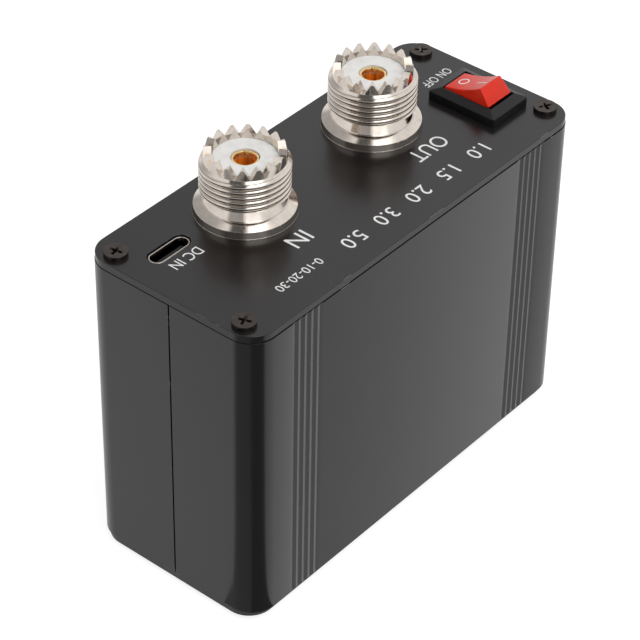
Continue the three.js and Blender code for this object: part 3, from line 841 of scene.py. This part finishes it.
FLOOR_SIZE = 6
KEY_PLACE, KEY_SIZE = (-0.035, -0.336, 0.725), 0.8

# Dark cards: name, share of the dark tone, and the azimuth and reach of each corner
CARDS = (
    ("Grey card", 3.0, ((158, 0.7), (180, 0.7), (200, 0.7), (220, 0.7))),
    ("Dark card", 1.3, (
        (220, 0.7), (245, 0.7), (270, 0.7), (306, 0.7), (306, 0.24), (290, 0.17), (271, 0.13),
    )),
)


def add_light(name, place, size, power):
    lamp = bpy.data.lights.new(name, "AREA")
    lamp.shape = "RECTANGLE"
    lamp.size = lamp.size_y = size
    lamp.energy = power
    holder = bpy.data.objects.new(name, lamp)
    holder.location = place
    aim = Vector((0, 0, CASE_HIGH.z / 2)) - holder.location
    holder.rotation_euler = aim.to_track_quat("-Z", "Y").to_euler()
    holder.visible_glossy = False
    bpy.context.scene.collection.objects.link(holder)


def add_floor(studio):
    clear_selection()
    bpy.ops.mesh.primitive_plane_add(size=FLOOR_SIZE)
    floor = added("Floor")
    finish = Finish("Pale floor", [studio.floor_tone] * 3, 0.8, Emission_Color=WHITE)
    glow = finish.range(finish.rays("Glossy", "Transmission"), 0, 1, 0, studio.floor_glow)
    glow = finish.range(finish.rays("Camera"), 0, 1, glow, studio.floor_white)
    finish.look(Emission_Strength=glow)
    floor.data.materials.append(finish.material)


def add_cards(studio):
    """Dark sheets on the table before the near corner, which only reflections show."""
    for name, tone, outline in CARDS:
        points = [CASE_LOW + Vector((0.005, 0.005, MILLI / 10))]
        for azimuth, reach in outline:
            angle = math.radians(azimuth)
            points.append(points[0] + reach * Vector((math.cos(angle), math.sin(angle), 0)))
        card = drawn(name, points)
        finish = Finish(name, (0, 0, 0), 0.5, Specular_IOR_Level=0, Emission_Color=WHITE)
        finish.look(Emission_Strength=studio.dark * tone)
        card.data.materials.append(finish.material)
        for kind in ("camera", "diffuse", "transmission", "shadow", "volume_scatter"):
            setattr(card, f"visible_{kind}", False)


def add_sky(studio):
    """White where the camera sees it, and with a dark side where metal mirrors it."""
    world = bpy.context.scene.world = bpy.data.worlds.new("Studio")
    world.use_nodes = True
    nodes = Nodes(world.node_tree)
    way = nodes.add("ShaderNodeTexCoord").outputs["Generated"]
    tone = 1
    for steps, next_tone in (
        (DARK_GAP, studio.dark), (DARK_ROOM, studio.dark * ROOM_SHARE), (SOFT_BOX, studio.box),
    ):
        region = nodes.math("MULTIPLY", *(nodes.band(way, *step) for step in steps))
        tone = nodes.range(region, 0, 1, tone, next_tone)
    tone = nodes.math("MULTIPLY", tone, nodes.band(way, *FAR_SIDE))
    strength = nodes.range(nodes.rays("Glossy"), 0, 1, studio.sky, tone)
    strength = nodes.range(nodes.rays("Camera", "Transmission"), 0, 1, strength, 1)
    nodes.set(nodes.tree.nodes["Background"], Color=WHITE, Strength=strength)


class METER_OT_stage(Operator):
    """Add the camera, the lights and the pale floor"""

    bl_idname = "meter.stage"
    bl_label = "Stage"

    def execute(self, context):
        studio = context.scene.meter_studio
        camera = bpy.data.objects.new("Camera", bpy.data.cameras.new("Camera"))
        context.scene.collection.objects.link(camera)
        across, above = Vector(studio.right).normalized(), Vector(studio.above)
        back = across.cross(above).normalized()
        turn = Matrix((across, back.cross(across), back)).transposed()
        camera.matrix_world = Matrix.Translation(studio.place) @ turn.to_4x4()
        camera.data.sensor_width = 36
        camera.data.lens = studio.lens
        camera.data.clip_start = 0.01
        context.scene.camera = camera
        context.scene.view_settings.view_transform = "Standard"
        add_light("Key", KEY_PLACE, KEY_SIZE, studio.key)
        add_floor(studio)
        add_cards(studio)
        add_sky(studio)
        return {"FINISHED"}


# The case

def case_half(name, side, sizes):
    """One length of the extrusion. side is -1 for the half at -Y and 1 for the half at +Y."""
    low, high = CASE_LOW, CASE_HIGH
    piece = round_plate(name, low, high, sizes.corner, sizes.corner_steps)
    for half in (-1, 1):
        for step in range(2 * sizes.flutes + 1):
            place = half * (sizes.flute_start + step * sizes.flute_pitch / 2)
            chosen(piece, "FACE", lambda normal: abs(normal.y) > 0.9)
            bpy.ops.mesh.bisect(plane_co=(place, 0, 0), plane_no=(1, 0, 0))
    chosen(piece, "FACE", lambda normal: abs(normal.z) > 0.9)
    bpy.ops.mesh.delete(type="FACE")
    object_mode()
    shaped(piece, "SOLIDIFY", thickness=sizes.wall, offset=-1, use_even_offset=True)
    valleys = [sizes.flute_start + (step + 0.5) * sizes.flute_pitch for step in range(sizes.flutes)]
    chosen(
        piece, "VERT",
        lambda place: side * place.y > high.y - MILLI / 10
        and any(abs(abs(place.x) - valley) < MILLI / 10 for valley in valleys)
    )
    bpy.ops.transform.translate(value=(0, -side * sizes.flute_depth, 0))
    object_mode()
    combined(piece, inner_ribs(side, sizes))
    carved(piece, *channel_cutters(side, sizes), *far_side(side, sizes))
    root = side * (sizes.seam_shift + sizes.seam_gap / 2 + MILLI)
    inner = high.x - sizes.wall
    tongue = block(
        "Tongue", (side * inner, root, low.z),
        (side * (inner + sizes.tongue_thickness), -side * sizes.tongue_reach, high.z)
    )
    combined(piece, tongue)
    return rounded(piece, sizes.edge, segments=2, angle=60)


def inner_ribs(side, sizes):
    """The screws' channels and the guides that a board runs in."""
    low, high = CASE_LOW.z, CASE_HIGH.z
    inner = CASE_HIGH.x - sizes.wall
    centre = middle("rear_screw_2")
    pieces = []
    for x_side in (-1, 1):
        pieces.append(drum("Channel", sizes.channel, low, high, 40, x_side * centre.x, side * abs(centre.y)))
        for edge in (-1, 1):
            y = side * (sizes.guide_place + edge * sizes.guide_gap / 2)
            pieces.append(block(
                "Guide", (x_side * (inner - sizes.guide_reach), y, low),
                (x_side * (inner + sizes.wall / 2), y + edge * side * sizes.guide_thickness, high)
            ))
    ribs = pieces.pop()
    for piece in pieces:
        combined(ribs, piece)
    return ribs


def channel_cutters(side, sizes):
    """The screws' holes, open towards the inside by a slot."""
    low, high = CASE_LOW.z - MILLI, CASE_HIGH.z + MILLI
    centre = middle("rear_screw_2")
    cutters = []
    for x_side in (-1, 1):
        x, y = x_side * centre.x, side * abs(centre.y)
        cutters.append(drum("Hole", sizes.channel_hole, low, high, 32, x, y))
        half = sizes.channel_slot / 2
        slot = block("Slot", (0, -half, low), (2 * sizes.channel, half, high))
        turn = math.atan2(-side, -x_side)
        cutters.append(moved(moved(slot, turn=turn), (x, y, 0)))
    return cutters


def far_side(side, sizes):
    """What lies beyond the parting lines, which are offset at the two short sides."""
    past = CASE_HIGH + Vector((MILLI, MILLI, MILLI))
    for x_side in (-1, 1):
        edge = x_side * sizes.seam_shift + side * sizes.seam_gap / 2
        yield block(
            "Beyond", (-x_side * MILLI, edge, CASE_LOW.z - MILLI), (x_side * past.x, -side * past.y, past.z)
        )


class METER_OT_case(Operator):
    """Build the two halves of the fluted case"""

    bl_idname = "meter.case"
    bl_label = "Case halves"

    def execute(self, context):
        sizes = context.scene.meter_case
        for name, node, side in (("case_upper", "case_half_upper", -1), ("case_lower", "case_half_lower", 1)):
            piece = case_half(name, side, sizes)
            finished(piece, METER, "case_aluminium", "case", node, smooth=SMOOTH_FLUTED)
        return {"FINISHED"}


# The panels

def rebate(face, side, sizes):
    """A frame that cuts the seam into a panel's inner face. side is the way that face looks along Z."""
    low, high = sorted((face + side * MILLI, face - side * sizes.seam))
    grown = Vector((MILLI, MILLI, 0))
    start, end = Vector((*REAR_LOW.xy, low)), Vector((*REAR_HIGH.xy, high))
    frame = round_plate("Frame", start - grown, end + grown, sizes.corner + MILLI)
    depth = sizes.seam_depth
    start += Vector((-depth, depth, -MILLI))
    end += Vector((-depth, -depth, MILLI))
    return carved(frame, round_plate("Core", start, end, sizes.corner - depth))


def hole(node, radius, low, high, steps):
    centre = middle(node)
    return drum("Cutter", radius, low, high, steps, centre.x, centre.y)


def rear_holes(low, high, sizes, switch):
    """The cutters for the sockets, the switch and the charging port."""
    for name in ("tx", "antenna"):
        yield hole(f"{name}_socket_shell", sizes.socket_hole, low, high, 48)
    x = switch.body_width / 2 + sizes.cutout_gap
    y = switch.body_length / 2 + sizes.cutout_gap
    yield block("Cutter", (PIVOT.x - x, PIVOT.y - y, low), (PIVOT.x + x, PIVOT.y + y, high))
    start, end = corners("port_shell")
    size = end - start + 2 * Vector((sizes.slot_gap, sizes.slot_gap, 0))
    yield stadium("Cutter", size.x, size.y, low, high, middle("port_shell"))


def window(low, high, sizes):
    half = Vector((sizes.window_width, sizes.window_depth)) / 2
    return round_plate("Cutter", (*-half, low), (*half, high), MILLI, 6)


class METER_OT_panels(Operator):
    """Build the rear and front panels with their openings"""

    bl_idname = "meter.panels"
    bl_label = "Panels"

    def execute(self, context):
        sizes = context.scene.meter_panels
        for end, side, face in (("rear", -1, REAR_LOW.z), ("front", 1, FRONT_HIGH.z)):
            start, stop = corners(f"{end}_panel")
            piece = round_plate(f"{end}_plate", start, stop, sizes.corner)
            low, high = start.z - MILLI, stop.z + MILLI
            holes = [hole(f"rear_screw_{number}", sizes.hole, low, high, 24) for number in range(1, 5)]
            if end == "rear":
                holes.extend(rear_holes(low, high, sizes, context.scene.meter_switch))
            else:
                holes.append(window(low, high, sizes))
            carved(piece, joined(*holes))
            rounded(piece, sizes.edge)
            carved(piece, rebate(face, side, sizes))
            finished(piece, METER, "panel_aluminium", "panel", f"{end}_panel", smooth=SMOOTH_FLAT)
        return {"FINISHED"}


# The screws

SCREW_TURNS = (0.35, 1.1, 0.2, 0.75)
RECESS_TAPER = (0.45, 0.6, 1)


def screw(sizes, shank):
    """A screw with its head upwards and its seat at zero."""
    piece = turned("Screw", [
        (0, -shank), (sizes.shank, -shank), (sizes.shank, 0),
        (sizes.head, 0), (sizes.head, sizes.height), (0, sizes.height),
    ], 48)
    carved(piece, *(recess_bar(sizes, turn) for turn in (0, math.pi / 2)))
    return rounded(piece, sizes.edge, angle=50)


def recess_bar(sizes, turn):
    """One bar of the cross recess, narrower at its foot."""
    x, y = sizes.recess_length / 2, sizes.recess_width / 2
    top = sizes.height + MILLI / 10
    piece = block("Bar", (-x, -y, sizes.height - sizes.recess_depth), (x, y, top))
    chosen(piece, "VERT", lambda place: place.z < top - MILLI / 100)
    bpy.ops.transform.resize(value=RECESS_TAPER)
    object_mode()
    return moved(piece, turn=turn)


class METER_OT_screws(Operator):
    """Build the eight cross-recessed panel screws"""

    bl_idname = "meter.screws"
    bl_label = "Panel screws"

    def execute(self, context):
        sizes = context.scene.meter_screws
        for end, flip in (("rear", 0), ("front", math.pi)):
            low, high = corners(f"{end}_screw_1")
            seat = REAR_FACE if end == "rear" else FRONT_LOW.z
            master = screw(sizes, seat - low.z if end == "rear" else high.z - seat)
            for number, turn in enumerate(SCREW_TURNS, start=1):
                node = f"{end}_screw_{number}"
                centre = middle(node)
                piece = moved(duplicate(master, f"{node}_head"), turn=turn)
                moved(piece, (centre.x, centre.y, seat), turn=flip, axis="X")
                finished(piece, METER, "black_steel", "screw", node, smooth=SMOOTH_FLAT)
            bpy.data.objects.remove(master)
        return {"FINISHED"}


# The sockets

def socket_shell(sizes):
    """The turned shell, crowned by notches and threaded by one coil."""
    ridge_top = sizes.flange_height + sizes.ridge * 2
    lip = sizes.lip - sizes.tail_end
    shell = turned("Shell", [
        (sizes.tail, -sizes.tail_end), (sizes.tail, 0),
        (sizes.skirt, 0), (sizes.skirt, sizes.flare / 2), (sizes.skirt - sizes.flare, sizes.flare),
        (sizes.flange, sizes.flange_edge), (sizes.flange_inner, sizes.flange_height),
        (sizes.flange_inner - sizes.ridge, ridge_top), (sizes.flange_inner - sizes.ridge * 3, ridge_top),
        *neck_curve(sizes, ridge_top), (sizes.neck, sizes.neck_top),
        (sizes.thread - sizes.thread_depth * 1.5, sizes.thread_start - sizes.thread_depth),
        (sizes.thread, sizes.thread_start), (sizes.thread, sizes.thread_end),
        (sizes.crown, sizes.valley), (sizes.crown_tip, sizes.tip),
        (sizes.bore, sizes.tip), (sizes.bore, lip), (sizes.lip_bore, lip), (sizes.lip_bore, -sizes.tail_end),
    ], sizes.steps, closed=True)
    for tooth in range(sizes.teeth):
        carved(shell, notch(sizes, sizes.phase + (tooth + 0.5) * math.tau / sizes.teeth))
    return tidy(carved(shell, thread_groove(sizes)))


def neck_curve(sizes, z):
    """The curve from the flange's conical top into the sloping neck."""
    x = sizes.flange_inner - sizes.ridge * 3
    first = math.atan2(sizes.flange_height - sizes.flange_edge, sizes.flange - sizes.flange_inner)
    for step in range(1, sizes.neck_steps + 1):
        slope = first + (sizes.neck_slope - first) * step / sizes.neck_steps
        yield (
            x - sizes.neck_curve * (math.sin(slope) - math.sin(first)),
            z + sizes.neck_curve * (math.cos(first) - math.cos(slope))
        )


def notch(sizes, turn):
    """A wedge that cuts the gap between two teeth."""
    top = sizes.tip + MILLI / 4
    reach = (top - sizes.valley) * math.tan(sizes.notch)
    start = sizes.contact
    wedge = drawn("Notch", [(start, -reach, top), (start, reach, top), (start, 0, sizes.valley)])
    return moved(extruded(wedge, (sizes.thread, 0, 0)), turn=turn)


def thread_groove(sizes):
    """The thread's groove as one coil, with a flat floor."""
    floor = sizes.thread - sizes.thread_depth
    soft = sizes.crest_round
    start = sizes.thread_start - sizes.pitch / 2
    turns = math.ceil((sizes.thread_end - start) / sizes.pitch)
    flank = sizes.root / 2 + (sizes.thread_depth - soft) * math.tan(sizes.thread_slope)
    edge = [
        (floor, sizes.root / 2), (sizes.thread - soft, flank), (sizes.thread - soft / 3, flank + soft * 0.6),
        (sizes.thread, flank + soft * 1.4), (sizes.thread + soft / 2, sizes.pitch * 0.49),
    ]
    profile = [(radius, -half) for radius, half in edge] + edge[::-1]
    coil = drawn("Groove", [(radius, 0, start + height) for radius, height in profile])
    chosen(coil, "FACE", lambda normal: True)
    bpy.ops.mesh.delete(type="ONLY_FACE")
    object_mode()
    shaped(
        coil, "SCREW", screw_offset=sizes.pitch, iterations=turns, steps=sizes.steps, render_steps=sizes.steps,
        use_merge_vertices=False
    )
    edit(coil)
    bpy.ops.mesh.remove_doubles(threshold=TINY)
    bpy.ops.mesh.fill_holes(sides=12)
    return tidy(coil)


def insulator(sizes):
    radius, hole = sizes.bore - sizes.gap, sizes.contact + sizes.gap
    low, cup = sizes.lip - sizes.tail_end, sizes.cup + sizes.gap
    return turned("Insulator", [
        (radius, low), (radius, sizes.insulator_top), (hole, sizes.insulator_top),
        (hole, low + MILLI), (cup, low + MILLI), (cup, low),
    ], sizes.steps, closed=True)


def contact(sizes):
    """The centre contact with its slotted mouth, and its solder cup behind."""
    shoulder = sizes.lip - sizes.tail_end + MILLI
    bore, top = sizes.contact_bore, sizes.contact_top
    lead = (sizes.contact - bore) / 4
    piece = turned("Contact", [
        (0, sizes.cup_depth - sizes.cup_end), (sizes.cup_bore, sizes.cup_depth - sizes.cup_end),
        (sizes.cup_bore, -sizes.cup_end), (sizes.cup, -sizes.cup_end), (sizes.cup, shoulder),
        (sizes.contact, shoulder), (sizes.contact, top - lead), (sizes.contact - lead, top),
        (bore + lead / 2, top), (bore, top - lead), (bore, top - sizes.contact_depth),
        (0, top - sizes.contact_depth - bore / 2),
    ], 64)
    reach, half = sizes.contact + MILLI, sizes.contact_slot / 2
    for turn in (math.pi / 4, 3 * math.pi / 4):
        slot = block("Slot", (-reach, -half, top - sizes.contact_slot_depth), (reach, half, top + MILLI))
        carved(piece, moved(slot, turn=turn))
    return piece


class METER_OT_sockets(Operator):
    """Build the threaded, crowned sockets with their insulators and contacts"""

    bl_idname = "meter.sockets"
    bl_label = "Coaxial sockets"

    def execute(self, context):
        sizes = context.scene.meter_sockets
        masters = {
            "socket_shell": (socket_shell(sizes), "nickel", "nickel"),
            "insulator": (insulator(sizes), "white_insulator", "white"),
            "contact": (contact(sizes), "gold_plate", "gold"),
        }
        for name in ("tx", "antenna"):
            centre = middle(f"{name}_socket_shell")
            for part, (master, slot, finish) in masters.items():
                piece = duplicate(master, f"{name}_{part}_turned")
                moved(piece, (centre.x, centre.y, REAR_FACE))
                finished(piece, METER, slot, finish, f"{name}_{part}", smooth=SMOOTH_TURNED)
        for master, slot, finish in masters.values():
            bpy.data.objects.remove(master)
        return {"FINISHED"}


# The switch

def switch_bezel(sizes):
    """The housing: a sloping bezel with its mouth and cavity, and a barbed body below."""
    x, y, z = PIVOT
    half = Vector((sizes.bezel_width, sizes.bezel_length)) / 2
    edge = Vector((*half, 0))
    rise = Vector((0, 0, sizes.bezel_edge))
    piece = round_plate("switch_bezel", PIVOT - edge, PIVOT + edge + rise, sizes.bezel_corner, 8)
    mouth = Vector((sizes.mouth_width, sizes.mouth_length)) / 2
    chosen(piece, "FACE", lambda normal: normal.z > 0.9)
    stepped(sizes.bezel_rim - sizes.bezel_edge, half, mouth + Vector((sizes.land, sizes.land)))
    body = Vector((sizes.body_width, sizes.body_length)) / 2
    chosen(piece, "FACE", lambda normal: normal.z < -0.9)
    stepped(0, half, body)
    stepped(-sizes.body_depth, body, body)
    tidy(piece)
    rounded(piece, sizes.edge, angle=30)
    floor, end = z - sizes.cavity_floor, sizes.cavity_length / 2
    carved(
        piece,
        block("Mouth", (x - mouth.x, y - mouth.y, floor), (x + mouth.x, y + mouth.y, z + 3 * MILLI)),
        block("Cavity", (x - mouth.x, y - end, floor), (x + mouth.x, y + end, z + sizes.cavity_top))
    )
    for way in (-1, 1):
        combined(piece, barb(sizes, way))
    reach = sizes.trunnion_reach + sizes.pin_gap
    hole = drum("Pin hole", sizes.trunnion + sizes.pin_gap, -reach, reach, 32)
    return carved(piece, moved(moved(hole, turn=math.pi / 2, axis="Y"), PIVOT))


def stepped(rise, now, then):
    """Extrudes the selected face along Z, and fits it from one half size to another."""
    bpy.ops.mesh.extrude_region_move(TRANSFORM_OT_translate={"value": (0, 0, rise)})
    bpy.ops.transform.resize(value=(then.x / now.x, then.y / now.y, 1), center_override=PIVOT)


def barb(sizes, way):
    """A wedge that snaps behind the panel."""
    left = -sizes.barb_width / 2
    inside = way * (sizes.body_length / 2 - sizes.barb_reach / 2)
    face = way * (sizes.body_length / 2 + sizes.barb_reach)
    top = REAR_LOW.z - REAR_FACE
    wedge = drawn("Barb", [(left, inside, top), (left, face, top), (left, inside, top - sizes.barb_drop)])
    return moved(extruded(wedge, (sizes.barb_width, 0, 0)), PIVOT)


def saddle(sizes):
    """Half the span and the radius of the saddle between the rocker's ridges."""
    half = sizes.ridge_span / 2
    return half, (half ** 2 + sizes.sag ** 2) / (2 * sizes.sag)


def rocker_side(sizes):
    """The rocker's outline from the side: saddle, end faces and round underside."""
    half, radius = saddle(sizes)
    sweep = math.asin(half / radius)
    centre = sizes.ridge_height - sizes.sag + radius
    corner_y = half + sizes.end * math.sin(sizes.tilt)
    corner_z = sizes.ridge_height - sizes.end * math.cos(sizes.tilt)
    for step in range(sizes.saddle_steps + 1):
        angle = sweep * (1 - 2 * step / sizes.saddle_steps)
        yield radius * math.sin(angle), centre - radius * math.cos(angle)
    yield -corner_y, corner_z
    for step in range(9):
        angle = math.pi + step * math.pi / 8
        yield sizes.barrel * math.cos(angle), sizes.barrel * math.sin(angle)
    yield corner_y, corner_z


def rocker(sizes):
    reach, ridge = sizes.skirt / 2, sizes.ridge_width / 2
    piece = drawn("switch_rocker_cap", [(-reach, y, z) for y, z in rocker_side(sizes)])
    extruded(piece, (sizes.skirt, 0, 0))
    end, top = -sizes.ridge_span, sizes.ridge_height + MILLI / 10
    taper = drawn("Taper", [
        (-reach, end, -sizes.ridge_height), (reach, end, -sizes.ridge_height), (reach, end, sizes.skirt_top),
        (ridge, end, top), (-ridge, end, top), (-reach, end, sizes.skirt_top),
    ])
    combined(piece, extruded(taper, (0, sizes.ridge_span * 2, 0)), "INTERSECT")
    rounded(piece, sizes.rocker_edge, segments=4, angle=25)
    clear_selection()
    bpy.ops.mesh.primitive_cylinder_add(
        vertices=32, radius=sizes.trunnion, depth=2 * sizes.trunnion_reach, rotation=(0, math.pi / 2, 0)
    )
    combined(piece, added("Trunnions"))
    return moved(piece, PIVOT, turn=-sizes.tilt, axis="X")


def rocker_marks(sizes):
    """The round OFF mark and the straight ON mark, printed on the rocker's two wings."""
    wing, radius = sizes.ridge_span / 4, saddle(sizes)[1]
    height = sizes.ridge_height - sizes.sag + wing ** 2 / (2 * radius)
    thin, half = MILLI / 20, sizes.mark_line / 2
    outer, inner = sizes.ring, sizes.ring - sizes.mark_line
    ring = turned("mark_off", [(inner, -thin), (outer, -thin), (outer, thin), (inner, thin)], 48, closed=True)
    dash = block("mark_on", (-half, -outer, -thin), (half, outer, thin))
    for piece, way in ((ring, 1), (dash, -1)):
        moved(piece, (0, way * wing, height), turn=way * math.atan(wing / radius), axis="X")
        yield moved(piece, PIVOT, turn=-sizes.tilt, axis="X")


class METER_OT_switch(Operator):
    """Build the rocker switch"""

    bl_idname = "meter.switch"
    bl_label = "Rocker switch"

    def execute(self, context):
        sizes = context.scene.meter_switch
        finished(switch_bezel(sizes), METER, "black_plastic", "bezel", "switch_housing", smooth=SMOOTH_FLAT)
        finished(rocker(sizes), ROCKER, "red_plastic", "red", "switch_rocker")
        for piece in rocker_marks(sizes):
            finished(piece, ROCKER, "white_insulator", "ink")
        return {"FINISHED"}


# The charging port

def port_shell(sizes, low, high, centre, size):
    shell = stadium("port_shell_rolled", size.x, size.y, low.z, high.z, centre, 48)
    width, height = size.x - 2 * sizes.wall, size.y - 2 * sizes.wall
    carved(shell, stadium("Hollow", width, height, low.z - MILLI, high.z + MILLI, centre, 48))
    return rounded(shell, sizes.wall / 3, segments=2, angle=50)


def port_pads(sizes, centre, half_height, end):
    """The contact pads on both faces of the tongue."""
    pitch = sizes.tongue_width / (sizes.pads + 1)
    for number in range(sizes.pads):
        x = centre.x + (number - (sizes.pads - 1) / 2) * pitch
        for side in (-1, 1):
            face = centre.y + side * half_height
            yield block(
                "Pad", (x - pitch / 4, face - side * MILLI / 10, end - sizes.pad_end),
                (x + pitch / 4, face + side * sizes.pad_proud, end - sizes.pad_start)
            )


class METER_OT_port(Operator):
    """Build the charging port"""

    bl_idname = "meter.port"
    bl_label = "Charging port"

    def execute(self, context):
        sizes = context.scene.meter_port
        low, high = corners("port_shell")
        size, centre = high - low, (low + high) / 2
        shell = port_shell(sizes, low, high, centre, size)
        # The port's shell has painted shade below the panel's face
        finished(shell, METER, "tinned_steel", "sleeve", "port_shell")
        margin = 2 * (sizes.wall + sizes.back_gap)
        back = stadium(
            "port_tongue_block", size.x - margin, size.y - margin, low.z, low.z + sizes.back, centre, 48
        )
        reach = Vector((sizes.tongue_width, sizes.tongue_height, 0)) / 2
        end = high.z - sizes.tongue_sunk
        start, stop = centre - reach, centre + reach
        tongue = block("Tongue", (*start.xy, low.z + sizes.back / 2), (*stop.xy, end))
        combined(back, rounded(tongue, sizes.tongue_edge, segments=2))
        finished(back, METER, "black_plastic", "bezel", "port_tongue")
        pads = joined(*port_pads(sizes, centre, reach.y, end))
        pads.name = "port_pads"
        finished(pads, METER, "gold_plate", "brass")
        return {"FINISHED"}


# The printing

def printed(name, text, span, baseline, height, proud):
    """One line of text, read from +X to -X, in millimetres."""
    clear_selection()
    bpy.ops.object.text_add()
    words = bpy.context.object
    words.data.body = text
    words.data.extrude = proud / MILLI
    bpy.ops.object.convert(target="MESH")
    piece = added(name)
    places = [corner.co for corner in piece.data.vertices]
    low, high = Vector(map(min, *places)), Vector(map(max, *places))
    size = high - low
    width = min(abs(span[1] - span[0]), size.x / size.y * height)
    start = (sum(span) + width) / 2
    shift = Matrix.Translation((start * MILLI, baseline * MILLI, REAR_FACE))
    turn = Matrix.Rotation(math.pi, 4, "Z")
    scale = Matrix.Diagonal((width / size.x * MILLI, height / size.y * MILLI, MILLI, 1))
    piece.data.transform(shift @ turn @ scale @ Matrix.Translation((-low.x, -low.y, 0)))
    finished(tidy(piece), METER, "white_insulator", "ink")


class METER_OT_marks(Operator):
    """Print the generic marks on the rear panel"""

    bl_idname = "meter.marks"
    bl_label = "Printed marks"

    def execute(self, context):
        marks = context.scene.meter_marks
        # Name, text, span along X, baseline along Y and height, in millimetres
        for name, text, span, baseline, height in (
            ("mark_socket_2", marks.right, (21.7, 13.2), -4.4, 3.3),
            ("mark_socket_1", marks.left, (-15.4, -20.0), -4.4, 3.3),
            ("mark_scale", marks.scale, (26.8, -16.3), -11.6, 2.95),
            ("mark_fine_scale", marks.fine, (-18.9, -31.5), -11.6, 1.75),
            ("mark_switch", marks.switch, (39.85, 32.6), 7.7, 1.85),
            ("mark_port", marks.port, (-30.6, -37.4), 5.65, 2.15),
        ):
            printed(name, text, span, baseline, height, marks.proud)
        return {"FINISHED"}


class METER_OT_display(Operator):
    """Build the display's window and glass"""

    bl_idname = "meter.display"
    bl_label = "Display"

    def execute(self, context):
        for name, node, finish, slot in (
            ("display_window_sheet", "display_window", "clear", "clear_acrylic"),
            ("display_glass_sheet", "display_glass", "glass", "display_glass"),
        ):
            piece = rounded(round_plate(name, *corners(node), MILLI, 6), MILLI / 10, segments=2)
            finished(piece, METER, slot, finish, node)
        return {"FINISHED"}


# The finish of each material slot
SLOT_FINISHES = {
    "circuit_board": "board", "black_plastic": "bezel", "tinned_steel": "tin", "nickel": "nickel",
    "standoff_brass": "brass", "copper": "copper", "ferrite": "ferrite", "cell_foil": "foil",
    "foam_tape": "foam", "case_aluminium": "case", "panel_aluminium": "panel", "black_steel": "screw",
    "gold_plate": "gold", "white_insulator": "white", "red_plastic": "red", "clear_acrylic": "clear",
    "display_glass": "glass",
}


class METER_OT_inside(Operator):
    """Give the parts inside the case their finishes"""

    bl_idname = "meter.inside"
    bl_label = "Inner parts"

    def execute(self, context):
        for part in frame["record"]["subparts"]:
            for place in frame["nodes"][part["node"]].material_slots:
                place.material = FINISHES[SLOT_FINISHES[part["material_slot"]]]
        return {"FINISHED"}


PARTS = (
    METER_OT_case, METER_OT_panels, METER_OT_screws, METER_OT_sockets, METER_OT_switch, METER_OT_port,
    METER_OT_marks, METER_OT_display, METER_OT_inside,
)


class METER_PT_parts(Panel):
    """Lists the meter's parts and sizes"""

    bl_idname = "METER_PT_parts"
    bl_label = "Meter"
    bl_space_type = "VIEW_3D"
    bl_region_type = "UI"
    bl_category = "Meter"

    def draw(self, context):
        layout = self.layout
        for operator in (METER_OT_stage, *PARTS):
            layout.operator(operator.bl_idname)
        for name, group in GROUPS.items():
            box = layout.box()
            box.label(text=group.__doc__)
            for size in group.__annotations__:
                box.prop(getattr(context.scene, name), size)


CLASSES = (*GROUPS.values(), METER_OT_stage, *PARTS, METER_PT_parts)


def register():
    for kind in CLASSES:
        bpy.utils.register_class(kind)
    for name, group in GROUPS.items():
        setattr(bpy.types.Scene, name, PointerProperty(type=group))


def unregister():
    for name in GROUPS:
        delattr(bpy.types.Scene, name)
    for kind in reversed(CLASSES):
        bpy.utils.unregister_class(kind)


def main():
    register()
    bpy.ops.meter.stage()
    make_finishes()
    for operator in PARTS:
        group, name = operator.bl_idname.split(".")
        getattr(getattr(bpy.ops, group), name)()


if __name__ == "__main__":
    main()
